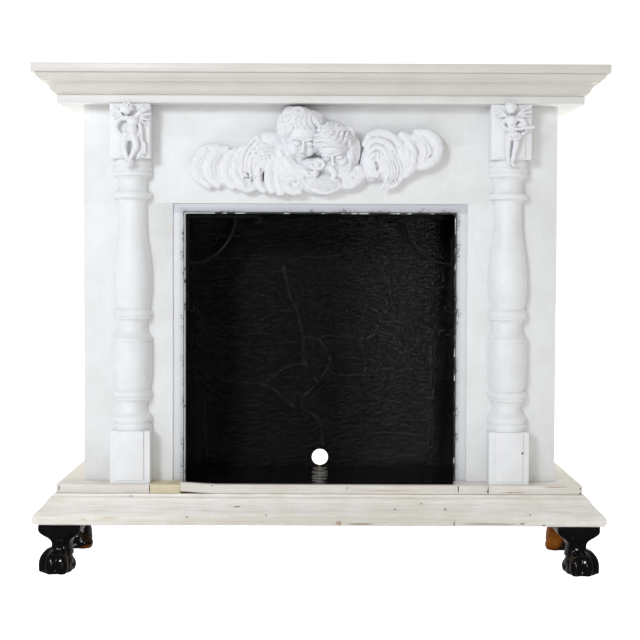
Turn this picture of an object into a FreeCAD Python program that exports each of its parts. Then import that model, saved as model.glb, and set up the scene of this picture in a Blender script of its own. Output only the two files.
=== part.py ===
import FreeCAD, Part
import math
import os

# Small free-standing decorative mantel, in millimetres: front towards -Y, +Z up, the origin on the
# floor under the middle of the overall box. "Reach" is how far a moulding stands out from the
# surround's face, the same on the front and on both sides.

# Levels
foot_height = 90.0
base_rail_top = 118.0
base_top = 140.0
hearth_top = 148.0
step_top = 156.0
opening_top = 638.0
slip_top = 656.0
soffit_bottom = 830.6
soffit_top = 844.4
cornice_top = 879.8
shelf_top = 894.6

# Plan
surround_half = 425.0
front_y = -66.0
back_y = 144.0
board = 15.0
inner_half = surround_half - board
board_back_y = front_y + board

# Opening and firebox
slip_half = 265.0
slip_recess = 3.0
opening_half = 243.0
opening_corner = 8.0
firebox_half = 252.0
firebox_board = 12.0
back_panel = 9.0
lining = 2.0
cable_hole_r = 17.0
cable_hole_x = 1.0
cable_hole_z = hearth_top + cable_hole_r + 0.6

# Mouldings and step
mitre_reach = 120.0
shelf_reach = 77.0
soffit_reach = 39.6
cornice_back = 0.0
step_reach = 42.3
sill_lip = 10.0
sill_left = -246.4
sill_right = 241.8
infill_left = -301.0
infill_right = 299.8
base_inner_reach = 40.0
rail_width = 40.0

# Half columns
column_x = 337.0
column_r = 35.5
plinth_top = 249.5
capital_bottom = 733.6
raised_panel = 3.0
raised_half = 24.5

# Feet
foot_x = 454.5
foot_front_y = -92.5
foot_rear_y = 75.0
foot_half = 36.3
ankle_half = 17.2

# Scroll brackets
bar_thick = 3.5
bar_width = 12.0
bar_y = 52.0
scroll_arc_r = 91.0
scroll_top_leg = 131.0
scroll_side_leg = 176.0
scroll_curl_r = 5.5

# Fasteners
screw_r = 2.0
screw_hole_r = 2.15
screw_head_r = 4.0
screw_head = 2.5
dowel_r = 4.0
dowel_hole_r = 4.15

SIDES = {"left": -1, "right": 1}
X_AXIS = FreeCAD.Vector(1, 0, 0)
Y_AXIS = FreeCAD.Vector(0, 1, 0)
Z_AXIS = FreeCAD.Vector(0, 0, 1)

parts = {}


def vector(x, y, z):
    return FreeCAD.Vector(x, y, z)


def box(x0, x1, y0, y1, z0, z1):
    """Box between two x, two y and two z values, each pair in either order."""
    low = vector(min(x0, x1), min(y0, y1), min(z0, z1))
    return Part.makeBox(abs(x1 - x0), abs(y1 - y0), abs(z1 - z0), low)


def outline(steps, place):
    """Closed face. A step of two numbers is a line to that point; one of four is an arc through
    the first pair to the second. place turns a pair into a point in space."""
    edges = []
    here = steps[0]
    for step in steps[1:] + [steps[0]]:
        if len(step) == 4:
            arc = Part.Arc(place(*here), place(*step[:2]), place(*step[2:]))
            edges.append(arc.toShape())
        else:
            edges.append(Part.makeLine(place(*here), place(*step)))
        here = step[-2:]
    return Part.Face(Part.Wire(edges))


def rod(start, end, radius):
    """Round bar with flat ends."""
    along = end - start
    return Part.makeCylinder(radius, along.Length, start, along)


def capsule(start, end, radius):
    """Round bar with ball ends."""
    shape = rod(start, end, radius)
    shape = shape.fuse(Part.makeSphere(radius, start))
    return shape.fuse(Part.makeSphere(radius, end))


def mitre_wedge(run):
    """Plan area between the two mitres of a front run, or beside one mitre of a side run."""
    outer = surround_half + mitre_reach
    front_corner = front_y - mitre_reach
    if run == "front":
        corners = [(-surround_half, front_y), (surround_half, front_y),
                   (outer, front_corner), (-outer, front_corner)]
    else:
        side = SIDES[run]
        corners = [(side * surround_half, front_y), (side * outer, front_corner),
                   (side * outer, back_y), (side * surround_half, back_y)]
    return outline(corners, lambda x, y: vector(x, y, 0)).extrude(Z_AXIS * shelf_top)


def mitred(profile, run):
    """Length of moulding whose profile is in reach and z."""
    length = 2 * (surround_half + mitre_reach)
    if run == "front":
        face = outline(profile, lambda reach, z: vector(-length / 2, front_y - reach, z))
        bar = face.extrude(X_AXIS * length)
    else:
        side = SIDES[run]
        start_y = front_y - mitre_reach
        face = outline(profile, lambda reach, z: vector(side * (surround_half + reach), start_y, z))
        bar = face.extrude(Y_AXIS * (back_y - start_y))
    return bar.common(mitre_wedge(run))


def rectangle(reach0, reach1, z0, z1):
    return [(reach0, z0), (reach1, z0), (reach1, z1), (reach0, z1)]


def shelf_and_cornice():
    front = front_y - shelf_reach
    half = surround_half + shelf_reach
    parts["shelf_board"] = box(-half, half, front, back_y, cornice_top, shelf_top)
    cornice = [
        (cornice_back, soffit_top),
        (40.1, soffit_top),
        (45.0, 848.0, 49.5, 855.0),
        (55.0, 861.8, 62.6, 866.0),
        (63.0, 867.7),
        (68.5, 872.4, 72.0, cornice_top),
        (cornice_back, cornice_top),
    ]
    for run in ("front", "left", "right"):
        parts["cornice_" + run] = mitred(cornice, run)
        parts["soffit_" + run] = mitred(rectangle(0, soffit_reach, soffit_bottom, soffit_top), run)


def surround_boards():
    parts["frieze_board"] = box(-surround_half, surround_half, front_y, board_back_y,
                                slip_top, cornice_top)
    for name, side in SIDES.items():
        parts["leg_board_" + name] = box(side * slip_half, side * surround_half,
                                         front_y, board_back_y, base_top, slip_top)
        parts["side_panel_" + name] = box(side * inner_half, side * surround_half,
                                          board_back_y, back_y, base_top, cornice_top)
    slip = box(-slip_half, slip_half, front_y + slip_recess, board_back_y, base_top, slip_top)
    doorway = box(-opening_half, opening_half, front_y, board_back_y, base_top, opening_top)
    uprights = [edge for edge in doorway.Edges
                if edge.BoundBox.YLength > board / 2 and edge.BoundBox.ZMin > opening_top - 1]
    parts["opening_slip"] = slip.cut(doorway.makeFillet(opening_corner, uprights))


def carcass():
    parts["back_panel"] = box(-inner_half, inner_half, back_y - back_panel, back_y,
                              base_top, cornice_top)
    rail = 20.0
    rail_bottom = cornice_top - 25.0
    panel_front = back_y - back_panel
    parts["back_rail"] = box(-inner_half, inner_half, panel_front - rail, panel_front,
                             rail_bottom, cornice_top)
    for name, side in SIDES.items():
        inner = side * (inner_half - rail)
        parts["shelf_cleat_" + name] = box(side * inner_half, inner, board_back_y,
                                           panel_front - rail, rail_bottom, cornice_top)


def firebox():
    panel_front = back_y - back_panel
    side_top = opening_top + firebox_board
    for name, side in SIDES.items():
        parts["firebox_side_" + name] = box(side * firebox_half,
                                            side * (firebox_half + firebox_board),
                                            board_back_y, panel_front, base_top, side_top)
    parts["firebox_top"] = box(-firebox_half, firebox_half, board_back_y, panel_front,
                               opening_top, side_top)
    tongue = 241.5
    hearth = box(-firebox_half, firebox_half, board_back_y, panel_front, base_top, hearth_top)
    apron = box(-tongue, tongue, front_y - step_reach + sill_lip, board_back_y,
                base_top, hearth_top)
    parts["hearth_board"] = hearth.fuse(apron).removeSplitter()
    sheet = box(-firebox_half, firebox_half, panel_front - lining, panel_front,
                hearth_top, opening_top)
    drill = rod(vector(cable_hole_x, 0, cable_hole_z),
                vector(cable_hole_x, back_y + board, cable_hole_z), cable_hole_r)
    parts["firebox_lining"] = sheet.cut(drill)
    parts["back_panel"] = parts["back_panel"].cut(drill)


def turned_profile():
    """Half section of the turned shaft, in radius and z, from its foot to its neck."""
    r = column_r
    return [
        (0, plinth_top),
        (r - 0.5, plinth_top),
        (r - 0.5, 260.8),
        (r - 3.0, 261.8),
        (r, 269.0, r - 3.5, 276.4),
        (25.7, 290.5, 29.0, 303.0),
        (r - 2.0, 303.6),
        (r - 2.0, 306.8),
        (r - 3.2, 307.6),
        (r, 313.5, r - 2.0, 319.6),
        (31.0, 320.6),
        (34.2, 338.0, r, 365.0),
        (r, 406.8),
        (r - 1.2, 407.6),
        (r, 408.6),
        (r, 415.0),
        (29.5, 423.0, 26.8, 433.0),
        (26.8, 441.0),
        (28.6, 446.6, 32.5, 448.6),
        (r - 1.6, 449.2),
        (r - 1.6, 451.4),
        (r - 2.8, 452.2),
        (r, 459.0, r - 2.4, 465.6),
        (30.0, 467.0),
        (34.5, 490.0, r, 517.0),
        (34.4, 543.0, 31.3, 570.0),
        (27.3, 598.0, 25.5, 632.0),
        (25.5, 655.0),
        (26.6, 660.6, 31.5, 663.2),
        (r - 2.0, 663.8),
        (r, 669.0, r - 2.0, 674.2),
        (28.0, 675.0),
        (26.4, 678.0),
        (26.4, 693.0),
        (28.4, 700.0, r - 1.5, 703.2),
        (r, 704.4),
        (r, 709.6),
        (r - 2.0, 710.8),
        (r, 716.0, r - 2.0, 721.4),
        (r - 0.5, 726.0, r - 2.0, 730.6),
        (r - 2.0, capital_bottom),
        (0, capital_bottom),
    ]


def half_column(name, side):
    """Turned shaft cut in half between two square blocks, each block with a thin raised panel."""
    x = side * column_x
    section = outline(turned_profile(), lambda r, z: vector(x + r, front_y, z))
    parts["half_column_" + name] = section.revolve(vector(x, front_y, 0), Z_AXIS, -180)
    block_front = front_y - column_r
    blocks = {
        "plinth": (step_top, plinth_top, 6.0, 0.0),
        "capital": (capital_bottom, soffit_bottom, 3.0, 3.0),
    }
    for block, (bottom, top, gap_below, gap_above) in blocks.items():
        parts[block + "_block_" + name] = box(x - column_r, x + column_r, block_front, front_y,
                                              bottom, top)
        parts[block + "_panel_" + name] = box(x - raised_half, x + raised_half,
                                              block_front - raised_panel, block_front,
                                              bottom + gap_below, top - gap_above)


def putto(name, side):
    """Small winged child glued on the capital: head, body, limbs and wings as rounded bars."""
    x = side * column_x
    back = front_y - column_r - raised_panel
    y = back - 6.0
    limbs = [
        ((0, 826), (0, 827), 9.5),
        ((0, 806), (1, 782), 9.5),
        ((-4, 778), (-6, 752), 5.5),
        ((5, 778), (8, 752), 5.5),
        ((-6, 752), (-4, 728), 4.5),
        ((8, 752), (2, 728), 4.5),
        ((-9, 808), (-18, 792), 4.0),
        ((9, 808), (20, 796), 4.0),
        ((-12, 812), (-20, 822), 5.0),
        ((12, 812), (20, 822), 5.0),
    ]
    figure = capsule(vector(x, y, 812), vector(x, y, 822), 6.0)
    for start, end, radius in limbs:
        bar = capsule(vector(x + start[0], y, start[1]), vector(x + end[0], y, end[1]), radius)
        figure = figure.fuse(bar)
    head_room = box(x - 60, x + 60, front_y - soffit_reach, front_y, soffit_bottom, cornice_top)
    behind = box(x - 60, x + 60, back, front_y, 700, soffit_top)
    parts["putto_" + name] = figure.cut(behind).cut(head_room)


def cherub_applique():
    """Two cherub heads between spread wings, as rounded bars laid half into the frieze face."""
    feathers = [
        ((-213, 742), (-218, 706), 21),
        ((-178, 744), (-178, 706), 20),
        ((-140, 750), (-134, 706), 22),
        ((-112, 752), (-100, 716), 24),
        ((-84, 738), (-72, 708), 22),
        ((-28, 692), (22, 692), 20),
        ((-10, 730), (20, 728), 24),
        ((50, 716), (76, 712), 20),
        ((92, 744), (112, 722), 26),
        ((126, 736), (112, 706), 18),
        ((150, 770), (146, 724), 22),
        ((178, 782), (176, 748), 20),
        ((200, 786), (196, 776), 17),
    ]
    heads = [(-34.6, 778, 40.0), (31.0, 762, 37.0)]
    shape = capsule(vector(-160, front_y, 726), vector(150, front_y, 730), 14)
    for start, end, radius in feathers:
        bar = capsule(vector(start[0], front_y, start[1]), vector(end[0], front_y, end[1]), radius)
        shape = shape.fuse(bar)
    for x, z, radius in heads:
        shape = shape.fuse(Part.makeSphere(radius, vector(x, front_y - 6, z)))
    wall = box(-surround_half, surround_half, front_y, board_back_y, slip_top, cornice_top)
    parts["cherub_applique"] = shape.cut(wall.fuse(box(-surround_half, surround_half, front_y,
                                                       board_back_y + 60, slip_top - 60,
                                                       cornice_top)))


def step_and_base():
    step = rectangle(0, step_reach, base_top, step_top)
    front = mitred(step, "front")
    reach = surround_half + mitre_reach
    cuts = {
        "step_strip_left": (-reach, infill_left),
        "step_infill_left": (infill_left, sill_left),
        "step_infill_right": (sill_right, infill_right),
        "step_strip_right": (infill_right, reach),
    }
    for name, (x0, x1) in cuts.items():
        parts[name] = front.common(box(x0, x1, front_y - mitre_reach, front_y, base_top, step_top))
    parts["sill_strip"] = box(sill_left, sill_right, front_y - step_reach,
                              front_y - step_reach + sill_lip, base_top, step_top)
    moulding = [
        (base_inner_reach, foot_height),
        (73.5, foot_height),
        (77.7, 97.0, 76.2, 106.0),
        (74.0, 110.0),
        (63.4, 119.4, 54.0, 131.0),
        (51.6, 134.4, 46.0, 134.6),
        (46.0, base_top),
        (base_inner_reach, base_top),
    ]
    for run in ("front", "left", "right"):
        parts["base_moulding_" + run] = mitred(moulding, run)
    for run in SIDES:
        parts["step_side_" + run] = mitred(step, run)


def base_frame():
    half = surround_half + base_inner_reach
    front = front_y - base_inner_reach
    parts["base_board"] = box(-half, half, front, back_y, base_rail_top, base_top)
    parts["base_rail_front"] = box(-half, half, front, front + rail_width,
                                   foot_height, base_rail_top)
    parts["base_rail_back"] = box(-half, half, back_y - rail_width, back_y,
                                  foot_height, base_rail_top)
    for name, side in SIDES.items():
        parts["base_rail_" + name] = box(side * half, side * (half - rail_width),
                                         front + rail_width, back_y - rail_width,
                                         foot_height, base_rail_top)


def ogee_prism(turn):
    """Upper part of a foot as seen from one side, run straight through."""
    section = [
        (-foot_half, foot_height),
        (-foot_half - 0.6, 78.0),
        (-24.5, 65.0, -ankle_half, 52.0),
        (-ankle_half, 44.0),
        (ankle_half, 44.0),
        (ankle_half, 52.0),
        (24.5, 65.0, foot_half + 0.6, 78.0),
        (foot_half, foot_height),
    ]
    face = outline(section, lambda x, z: vector(x, -60, z))
    prism = face.extrude(Y_AXIS * 120)
    prism.rotate(vector(0, 0, 0), Z_AXIS, turn)
    return prism


def claw_foot(x, y, outward):
    """Square-topped foot with a lion's paw below; outward is the angle that the toes point to."""
    leg = ogee_prism(0).common(ogee_prism(90))
    paw_profile = [
        (0, 0),
        (22, 0),
        (25.5, 8.0),
        (26, 24.0),
        (21.0, 33.0, ankle_half, 48.0),
        (0, 48.0),
    ]
    paw = outline(paw_profile, lambda r, z: vector(r, 0, z)).revolve(vector(0, 0, 0), Z_AXIS, 360)
    foot = leg.fuse(paw)
    for spread in (-60, -20, 20, 60):
        angle = math.radians(outward + spread)
        across = vector(math.cos(angle), math.sin(angle), 0)
        knuckle = across * 20 + vector(0, 0, 21)
        tip = across * 25.5 + vector(0, 0, 8.2)
        foot = foot.fuse(capsule(knuckle, tip, 8.0))
    foot.translate(vector(x, y, 0))
    return foot


def feet():
    for name, side in SIDES.items():
        corner = 45 if side > 0 else 135
        parts["claw_foot_front_" + name] = claw_foot(side * foot_x, foot_front_y, -corner)
        parts["claw_foot_rear_" + name] = claw_foot(side * foot_x, foot_rear_y, corner)


def bent_bar(corner, side, centre, radius, start, end):
    """Flat bar bent on edge round a centre, from one angle to another, in degrees.

    Centre is measured into the firebox and down from its corner."""
    def place(along, down):
        return vector(corner[0] - side * along, bar_y, corner[1] - down)

    def on_ring(ring, angle):
        turn = math.radians(angle)
        return place(centre[0] + ring * math.cos(turn), centre[1] + ring * math.sin(turn))

    inner = radius - bar_thick / 2
    outer = radius + bar_thick / 2
    middle = (start + end) / 2
    edges = [
        Part.Arc(on_ring(inner, start), on_ring(inner, middle), on_ring(inner, end)).toShape(),
        Part.makeLine(on_ring(inner, end), on_ring(outer, end)),
        Part.Arc(on_ring(outer, end), on_ring(outer, middle), on_ring(outer, start)).toShape(),
        Part.makeLine(on_ring(outer, start), on_ring(inner, start)),
    ]
    return Part.Face(Part.Wire(edges)).extrude(Y_AXIS * bar_width)


def scroll_bracket(side):
    """Two legs in the firebox's upper corner, a quarter-circle brace and a curl at each end."""
    corner = (side * firebox_half, opening_top)
    x = corner[0]
    z = corner[1]
    bar_back = bar_y + bar_width
    top_leg = box(x, x - side * scroll_top_leg, bar_y, bar_back, z - bar_thick, z)
    side_leg = box(x, x - side * bar_thick, bar_y, bar_back, z - scroll_side_leg, z)
    half_bar = bar_thick / 2
    centre_drop = half_bar + scroll_curl_r
    brace = bent_bar(corner, side, (0, 0), scroll_arc_r, 1, 89)
    top_curl = bent_bar(corner, side, (scroll_top_leg, centre_drop), scroll_curl_r, -90, 150)
    side_curl = bent_bar(corner, side, (centre_drop, scroll_side_leg), scroll_curl_r, 180, -60)
    bracket = top_leg.fuse(side_leg).fuse(brace).fuse(top_curl).fuse(side_curl)
    return bracket.removeSplitter()


def screw(head_end, direction, length):
    """Pan-head screw: head_end is where the head meets the work."""
    shank = Part.makeCylinder(screw_r, length, head_end, direction)
    head = Part.makeCylinder(screw_head_r, screw_head, head_end - direction * screw_head, direction)
    return shank.fuse(head)


def screw_hole(head_end, direction, length):
    start = head_end - direction * 0.5
    return Part.makeCylinder(screw_hole_r, length + 1.0, start, direction)


def fasten(group, screws, nodes, length):
    """Put a group of screws in place and drill the boards they pass through."""
    solids = []
    for head_end, direction in screws:
        solids.append(screw(head_end, direction, length))
        hole = screw_hole(head_end, direction, length)
        for node in nodes:
            if parts[node].distToShape(hole)[0] < 0.01:
                parts[node] = parts[node].cut(hole)
    parts[group] = Part.makeCompound(solids)


def brackets_and_fasteners():
    bar_middle = bar_y + bar_width / 2
    bracket_screws = []
    column_screws = []
    shelf_screws = []
    for name, side in SIDES.items():
        parts["scroll_bracket_" + name] = scroll_bracket(side)
        wall = side * (firebox_half - bar_thick)
        outwards = X_AXIS * side
        for drop in (48, 140):
            place = vector(wall, bar_middle, opening_top - drop)
            bracket_screws.append((place, outwards))
        for along in (38, 112):
            place = vector(side * (firebox_half - along), bar_middle, opening_top - bar_thick)
            bracket_screws.append((place, Z_AXIS))
        for z in (205, 365, 775):
            column_screws.append((vector(side * column_x, board_back_y, z), -Y_AXIS))
        for y in (0, 90):
            place = vector(side * (inner_half - 10), y, cornice_top - 25)
            shelf_screws.append((place, Z_AXIS))
    both = ("left", "right")
    fasten("bracket_screws", bracket_screws,
           ["scroll_bracket_" + name for name in both]
           + ["firebox_side_" + name for name in both] + ["firebox_top"], 10.0)
    column_nodes = ["frieze_board"]
    for piece in ("leg_board_", "half_column_", "plinth_block_", "capital_block_"):
        column_nodes += [piece + name for name in both]
    fasten("column_screws", column_screws, column_nodes, 38.0)
    fasten("shelf_screws", shelf_screws,
           ["shelf_cleat_" + name for name in both] + ["shelf_board"], 35.0)


def foot_dowels():
    """Threaded dowel up through each foot into the rail and the base board."""
    bottom = 58.0
    top = base_top - 10.0
    dowels = []
    for name, side in SIDES.items():
        for end, y in (("front", foot_front_y), ("rear", foot_rear_y)):
            start = vector(side * foot_x, y, bottom)
            finish = vector(side * foot_x, y, top)
            dowels.append(rod(start, finish, dowel_r))
            hole = rod(start - Z_AXIS * 0.5, finish + Z_AXIS * 0.5, dowel_hole_r)
            rail = "base_rail_front" if end == "front" else "base_rail_" + name
            for node in ("claw_foot_" + end + "_" + name, rail, "base_board"):
                parts[node] = parts[node].cut(hole)
    parts["foot_dowels"] = Part.makeCompound(dowels)


shelf_and_cornice()
surround_boards()
carcass()
firebox()
for side_name, side_sign in SIDES.items():
    half_column(side_name, side_sign)
    putto(side_name, side_sign)
cherub_applique()
step_and_base()
base_frame()
feet()
brackets_and_fasteners()
foot_dowels()

os.makedirs("parts", exist_ok=True)
for node_name, node_shape in parts.items():
    node_shape.exportStep("parts/" + node_name + ".step")
print(len(parts), "nodes")
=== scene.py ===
"""Looks of a small free-standing mantel: painted surround, turned half columns, cherub ornament,
worn step and base, black claw feet and a black firebox.

Lengths are written in millimetres and turned to metres with MM where a mesh is made.
"""

import logging
import math
from dataclasses import dataclass, field
from enum import Enum

import bpy
import numpy as np
from mathutils import Euler, Matrix, Vector

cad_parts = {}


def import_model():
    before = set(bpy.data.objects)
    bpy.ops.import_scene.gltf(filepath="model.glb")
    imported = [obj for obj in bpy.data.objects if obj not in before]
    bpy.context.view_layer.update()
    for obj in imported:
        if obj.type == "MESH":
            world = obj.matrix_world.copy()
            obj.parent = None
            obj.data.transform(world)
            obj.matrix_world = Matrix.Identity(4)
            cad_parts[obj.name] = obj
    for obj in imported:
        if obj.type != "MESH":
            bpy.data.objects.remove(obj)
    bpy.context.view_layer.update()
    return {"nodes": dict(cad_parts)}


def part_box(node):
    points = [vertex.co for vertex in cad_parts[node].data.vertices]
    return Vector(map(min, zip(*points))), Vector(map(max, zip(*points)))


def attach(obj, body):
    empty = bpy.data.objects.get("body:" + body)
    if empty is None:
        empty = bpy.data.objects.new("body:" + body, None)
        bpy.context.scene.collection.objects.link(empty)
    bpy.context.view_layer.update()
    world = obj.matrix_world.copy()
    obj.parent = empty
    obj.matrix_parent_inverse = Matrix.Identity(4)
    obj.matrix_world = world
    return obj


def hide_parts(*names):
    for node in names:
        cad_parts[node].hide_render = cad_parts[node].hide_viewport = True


MM = 0.001
BODY = "root"
LOG = logging.getLogger("mantel")

Point = tuple[float, float, float]
Spot = tuple[float, float]
Piece = bpy.types.Object
Tree = bpy.types.NodeTree
Node = bpy.types.Node
Socket = bpy.types.NodeSocket


# ---------------------------------------------------------------- bench: selecting and modelling


def deselect() -> None:
    """Leave edit mode and deselect everything."""
    if bpy.context.object and bpy.context.object.mode != "OBJECT":
        bpy.ops.object.mode_set(mode="OBJECT")
    bpy.ops.object.select_all(action="DESELECT")


def pick(*objects: Piece) -> None:
    """Select only these objects and make the first one active.

    Args:
        objects: What to select.
    """
    deselect()
    for each in objects:
        each.select_set(True)
    bpy.context.view_layer.objects.active = objects[0]


def newest(name: str) -> Piece:
    """Name the primitive that was just added and bring its place into its mesh.

    Args:
        name: The object's new name.

    Returns:
        The object, at the origin, unturned and unscaled.
    """
    made = bpy.context.object
    made.name = name
    bpy.ops.object.transform_apply(location=True, rotation=True, scale=True)
    return made


def modify(piece: Piece, kind: str, **settings: object) -> None:
    """Add a modifier to a piece and apply it.

    Args:
        piece: The mesh object.
        kind: Modifier type, such as "BEVEL".
        settings: The modifier's properties.
    """
    modifier = piece.modifiers.new(kind.title(), kind)
    for key, value in settings.items():
        setattr(modifier, key, value)
    pick(piece)
    bpy.ops.object.modifier_apply(modifier=modifier.name)


def join(name: str, pieces: list[Piece]) -> Piece:
    """Join pieces into one object.

    Args:
        name: The joined object's name.
        pieces: Mesh objects, all at the origin.

    Returns:
        The joined object.
    """
    pick(*pieces)
    if len(pieces) > 1:
        bpy.ops.object.join()
    pieces[0].name = name
    return pieces[0]


def points_of(piece: Piece) -> np.ndarray:
    """The piece's vertices, in millimetres, one row each."""
    flat = np.zeros(len(piece.data.vertices) * 3)
    piece.data.vertices.foreach_get("co", flat)
    return flat.reshape(-1, 3) / MM


def normals_of(piece: Piece) -> np.ndarray:
    """The piece's vertex normals, one row each."""
    flat = np.zeros(len(piece.data.vertices) * 3)
    piece.data.vertices.foreach_get("normal", flat)
    return flat.reshape(-1, 3)


def set_points(piece: Piece, points: np.ndarray) -> None:
    """Move the piece's vertices.

    Args:
        piece: The mesh object.
        points: New vertex places in millimetres, one row each.
    """
    piece.data.vertices.foreach_set("co", (points * MM).ravel())
    piece.data.update()


def smooth_step(low: float, high: float, value: np.ndarray) -> np.ndarray:
    """Rise from 0 at low to 1 at high with soft ends."""
    share = np.clip((value - low) / (high - low), 0.0, 1.0)
    return share * share * (3.0 - 2.0 * share)


def seat(piece: Piece, nodes: list[str], angle: float = 40.0) -> None:
    """Give a finished piece its body and smooth shading in place of the CAD nodes.

    Args:
        piece: The finished mesh object, at the origin.
        nodes: CAD nodes that the piece stands for.
        angle: Edges sharper than this, in degrees, stay crisp.
    """
    pick(piece)
    bpy.ops.object.shade_smooth_by_angle(angle=math.radians(angle))
    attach(piece, BODY)
    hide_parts(*nodes)
    LOG.info("%s: %d faces", piece.name, len(piece.data.polygons))


def eased_copy(node: str, ease: float) -> Piece:
    """A copy of a board or block, named eased_ and its node, with its edges eased as by sandpaper.

    Args:
        node: CAD node to copy.
        ease: Width of the eased edge in millimetres.

    Returns:
        The new mesh object.
    """
    source = bpy.data.objects[node]
    piece = bpy.data.objects.new("eased_" + node, source.data.copy())
    bpy.context.scene.collection.objects.link(piece)
    pick(piece)
    bpy.ops.object.mode_set(mode="EDIT")
    bpy.ops.mesh.select_all(action="SELECT")
    bpy.ops.mesh.remove_doubles(threshold=0.01 * MM)
    bpy.ops.mesh.dissolve_limited(angle_limit=math.radians(1.0))
    bpy.ops.object.mode_set(mode="OBJECT")
    modify(piece, "BEVEL", width=ease * MM, segments=2, limit_method="ANGLE",
           angle_limit=math.radians(50.0), use_clamp_overlap=True, harden_normals=False)
    return piece


# ---------------------------------------------------------------- finishes


def srgb(code: str) -> tuple[float, float, float, float]:
    """Turn an sRGB hex code into a linear colour.

    Args:
        code: Six hex digits, with or without a leading "#".

    Returns:
        Red, green, blue and an alpha of one.
    """
    digits = code.lstrip("#")
    channels = [int(digits[i:i + 2], 16) / 255.0 for i in (0, 2, 4)]
    linear = [c / 12.92 if c <= 0.04045 else ((c + 0.055) / 1.055) ** 2.4 for c in channels]
    return (linear[0], linear[1], linear[2], 1.0)


def add_node(tree: Tree, kind: str, settings: dict | None = None,
             links: dict | None = None) -> Node:
    """Add a shader node with its settings and links.

    Args:
        tree: The node tree.
        kind: Node type without its "ShaderNode" start.
        settings: Properties by name, and input values by input name or number.
        links: Sockets that feed inputs, by input name or number.

    Returns:
        The new node.
    """
    node = tree.nodes.new("ShaderNode" + kind)
    for key, value in (settings or {}).items():
        if isinstance(key, str) and hasattr(node, key):
            setattr(node, key, value)
        else:
            node.inputs[key].default_value = value
    for key, socket in (links or {}).items():
        tree.links.new(socket, node.inputs[key])
    return node


@dataclass(frozen=True)
class Mark:
    """A hole, chip, dent or stain in a finish.

    Attributes:
        place: Its middle, in millimetres.
        reach: Its half sizes along x, y and z, in millimetres.
        colour: Hex colour at its middle.
        ragged: How far its outline wanders, in millimetres.
        soft: Share of its size over which it fades.
        strength: How far its colour covers the finish, 0 to 1.
    """

    place: Point
    reach: Point
    colour: str = "2a1c12"
    ragged: float = 0.6
    soft: float = 0.35
    strength: float = 1.0


def lay_marks(tree: Tree, place: Socket, colour: Socket,
              marks: tuple[Mark, ...]) -> tuple[Socket, Socket | None]:
    """Lay marks over a colour.

    Args:
        tree: The node tree.
        place: Object coordinates.
        colour: The colour under the marks.
        marks: The marks, the last one on top.

    Returns:
        The marked colour, and how much of a mark each point holds, or none without marks.
    """
    depth = None
    for mark in marks:
        wander = add_node(tree, "TexNoise", {"Scale": 1.0 / (max(mark.ragged, 0.3) * 3.0 * MM),
                                             "Detail": 2.0}, {"Vector": place})
        shift = add_node(tree, "VectorMath", {"operation": "MULTIPLY_ADD",
                                              1: [mark.ragged * 3.0 * MM] * 3,
                                              2: [-(c + mark.ragged * 1.5) * MM for c in mark.place]},
                         {0: wander.outputs["Color"]})
        away = add_node(tree, "VectorMath", {"operation": "ADD"},
                        {0: place, 1: shift.outputs["Vector"]})
        shrink = add_node(tree, "VectorMath", {"operation": "MULTIPLY",
                                               1: [1.0 / (r * MM) for r in mark.reach]},
                          {0: away.outputs["Vector"]})
        length = add_node(tree, "VectorMath", {"operation": "LENGTH"}, {0: shrink.outputs["Vector"]})
        share = add_node(tree, "MapRange", {"interpolation_type": "SMOOTHSTEP",
                                            "From Min": 1.0 - mark.soft, "From Max": 1.0,
                                            "To Min": mark.strength, "To Max": 0.0},
                         {"Value": length.outputs["Value"]})
        mix = add_node(tree, "Mix", {"data_type": "RGBA", 7: srgb(mark.colour)},
                       {0: share.outputs["Result"], 6: colour})
        colour = mix.outputs[2]
        if depth is None:
            depth = share.outputs["Result"]
        else:
            depth = add_node(tree, "Math", {"operation": "MAXIMUM"},
                             {0: depth, 1: share.outputs["Result"]}).outputs[0]
    return colour, depth


class Finish:
    """A finish that becomes one shared material."""

    name: str

    def material(self) -> bpy.types.Material:
        """The finish as a material, made on first use.

        Returns:
            The material.
        """
        made = bpy.data.materials.get(self.name)
        if made is None:
            made = bpy.data.materials.new(self.name)
            made.use_nodes = True
            tree = made.node_tree
            tree.nodes.clear()
            shader = add_node(tree, "BsdfPrincipled")
            add_node(tree, "OutputMaterial", links={"Surface": shader.outputs["BSDF"]})
            place = add_node(tree, "TexCoord").outputs["Object"]
            self.lay(tree, shader, place)
        return made

    def lay(self, tree: Tree, shader: Node, place: Socket) -> None:
        """Build the finish's nodes.

        Args:
            tree: The node tree.
            shader: The surface shader.
            place: Object coordinates in metres.
        """
        raise NotImplementedError

    def dress(self, *pieces: Piece) -> None:
        """Give the finish to pieces as their only material.

        Args:
            pieces: Mesh objects, CAD nodes among them.
        """
        for piece in pieces:
            piece.data.materials.clear()
            piece.data.materials.append(self.material())


class Grain(Enum):
    """Which way brush strokes or wood grain run."""

    UP = "up"
    ACROSS = "across"
    DEEP = "deep"

    def stretch(self, width: float, length: float) -> Point:
        """Pattern scale for strokes of this width and length in millimetres."""
        fine = 1.0 / (width * MM)
        slow = 1.0 / (length * MM)
        return {"up": (fine, fine, slow), "across": (slow, fine, fine),
                "deep": (fine, slow, fine)}[self.value]


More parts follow.
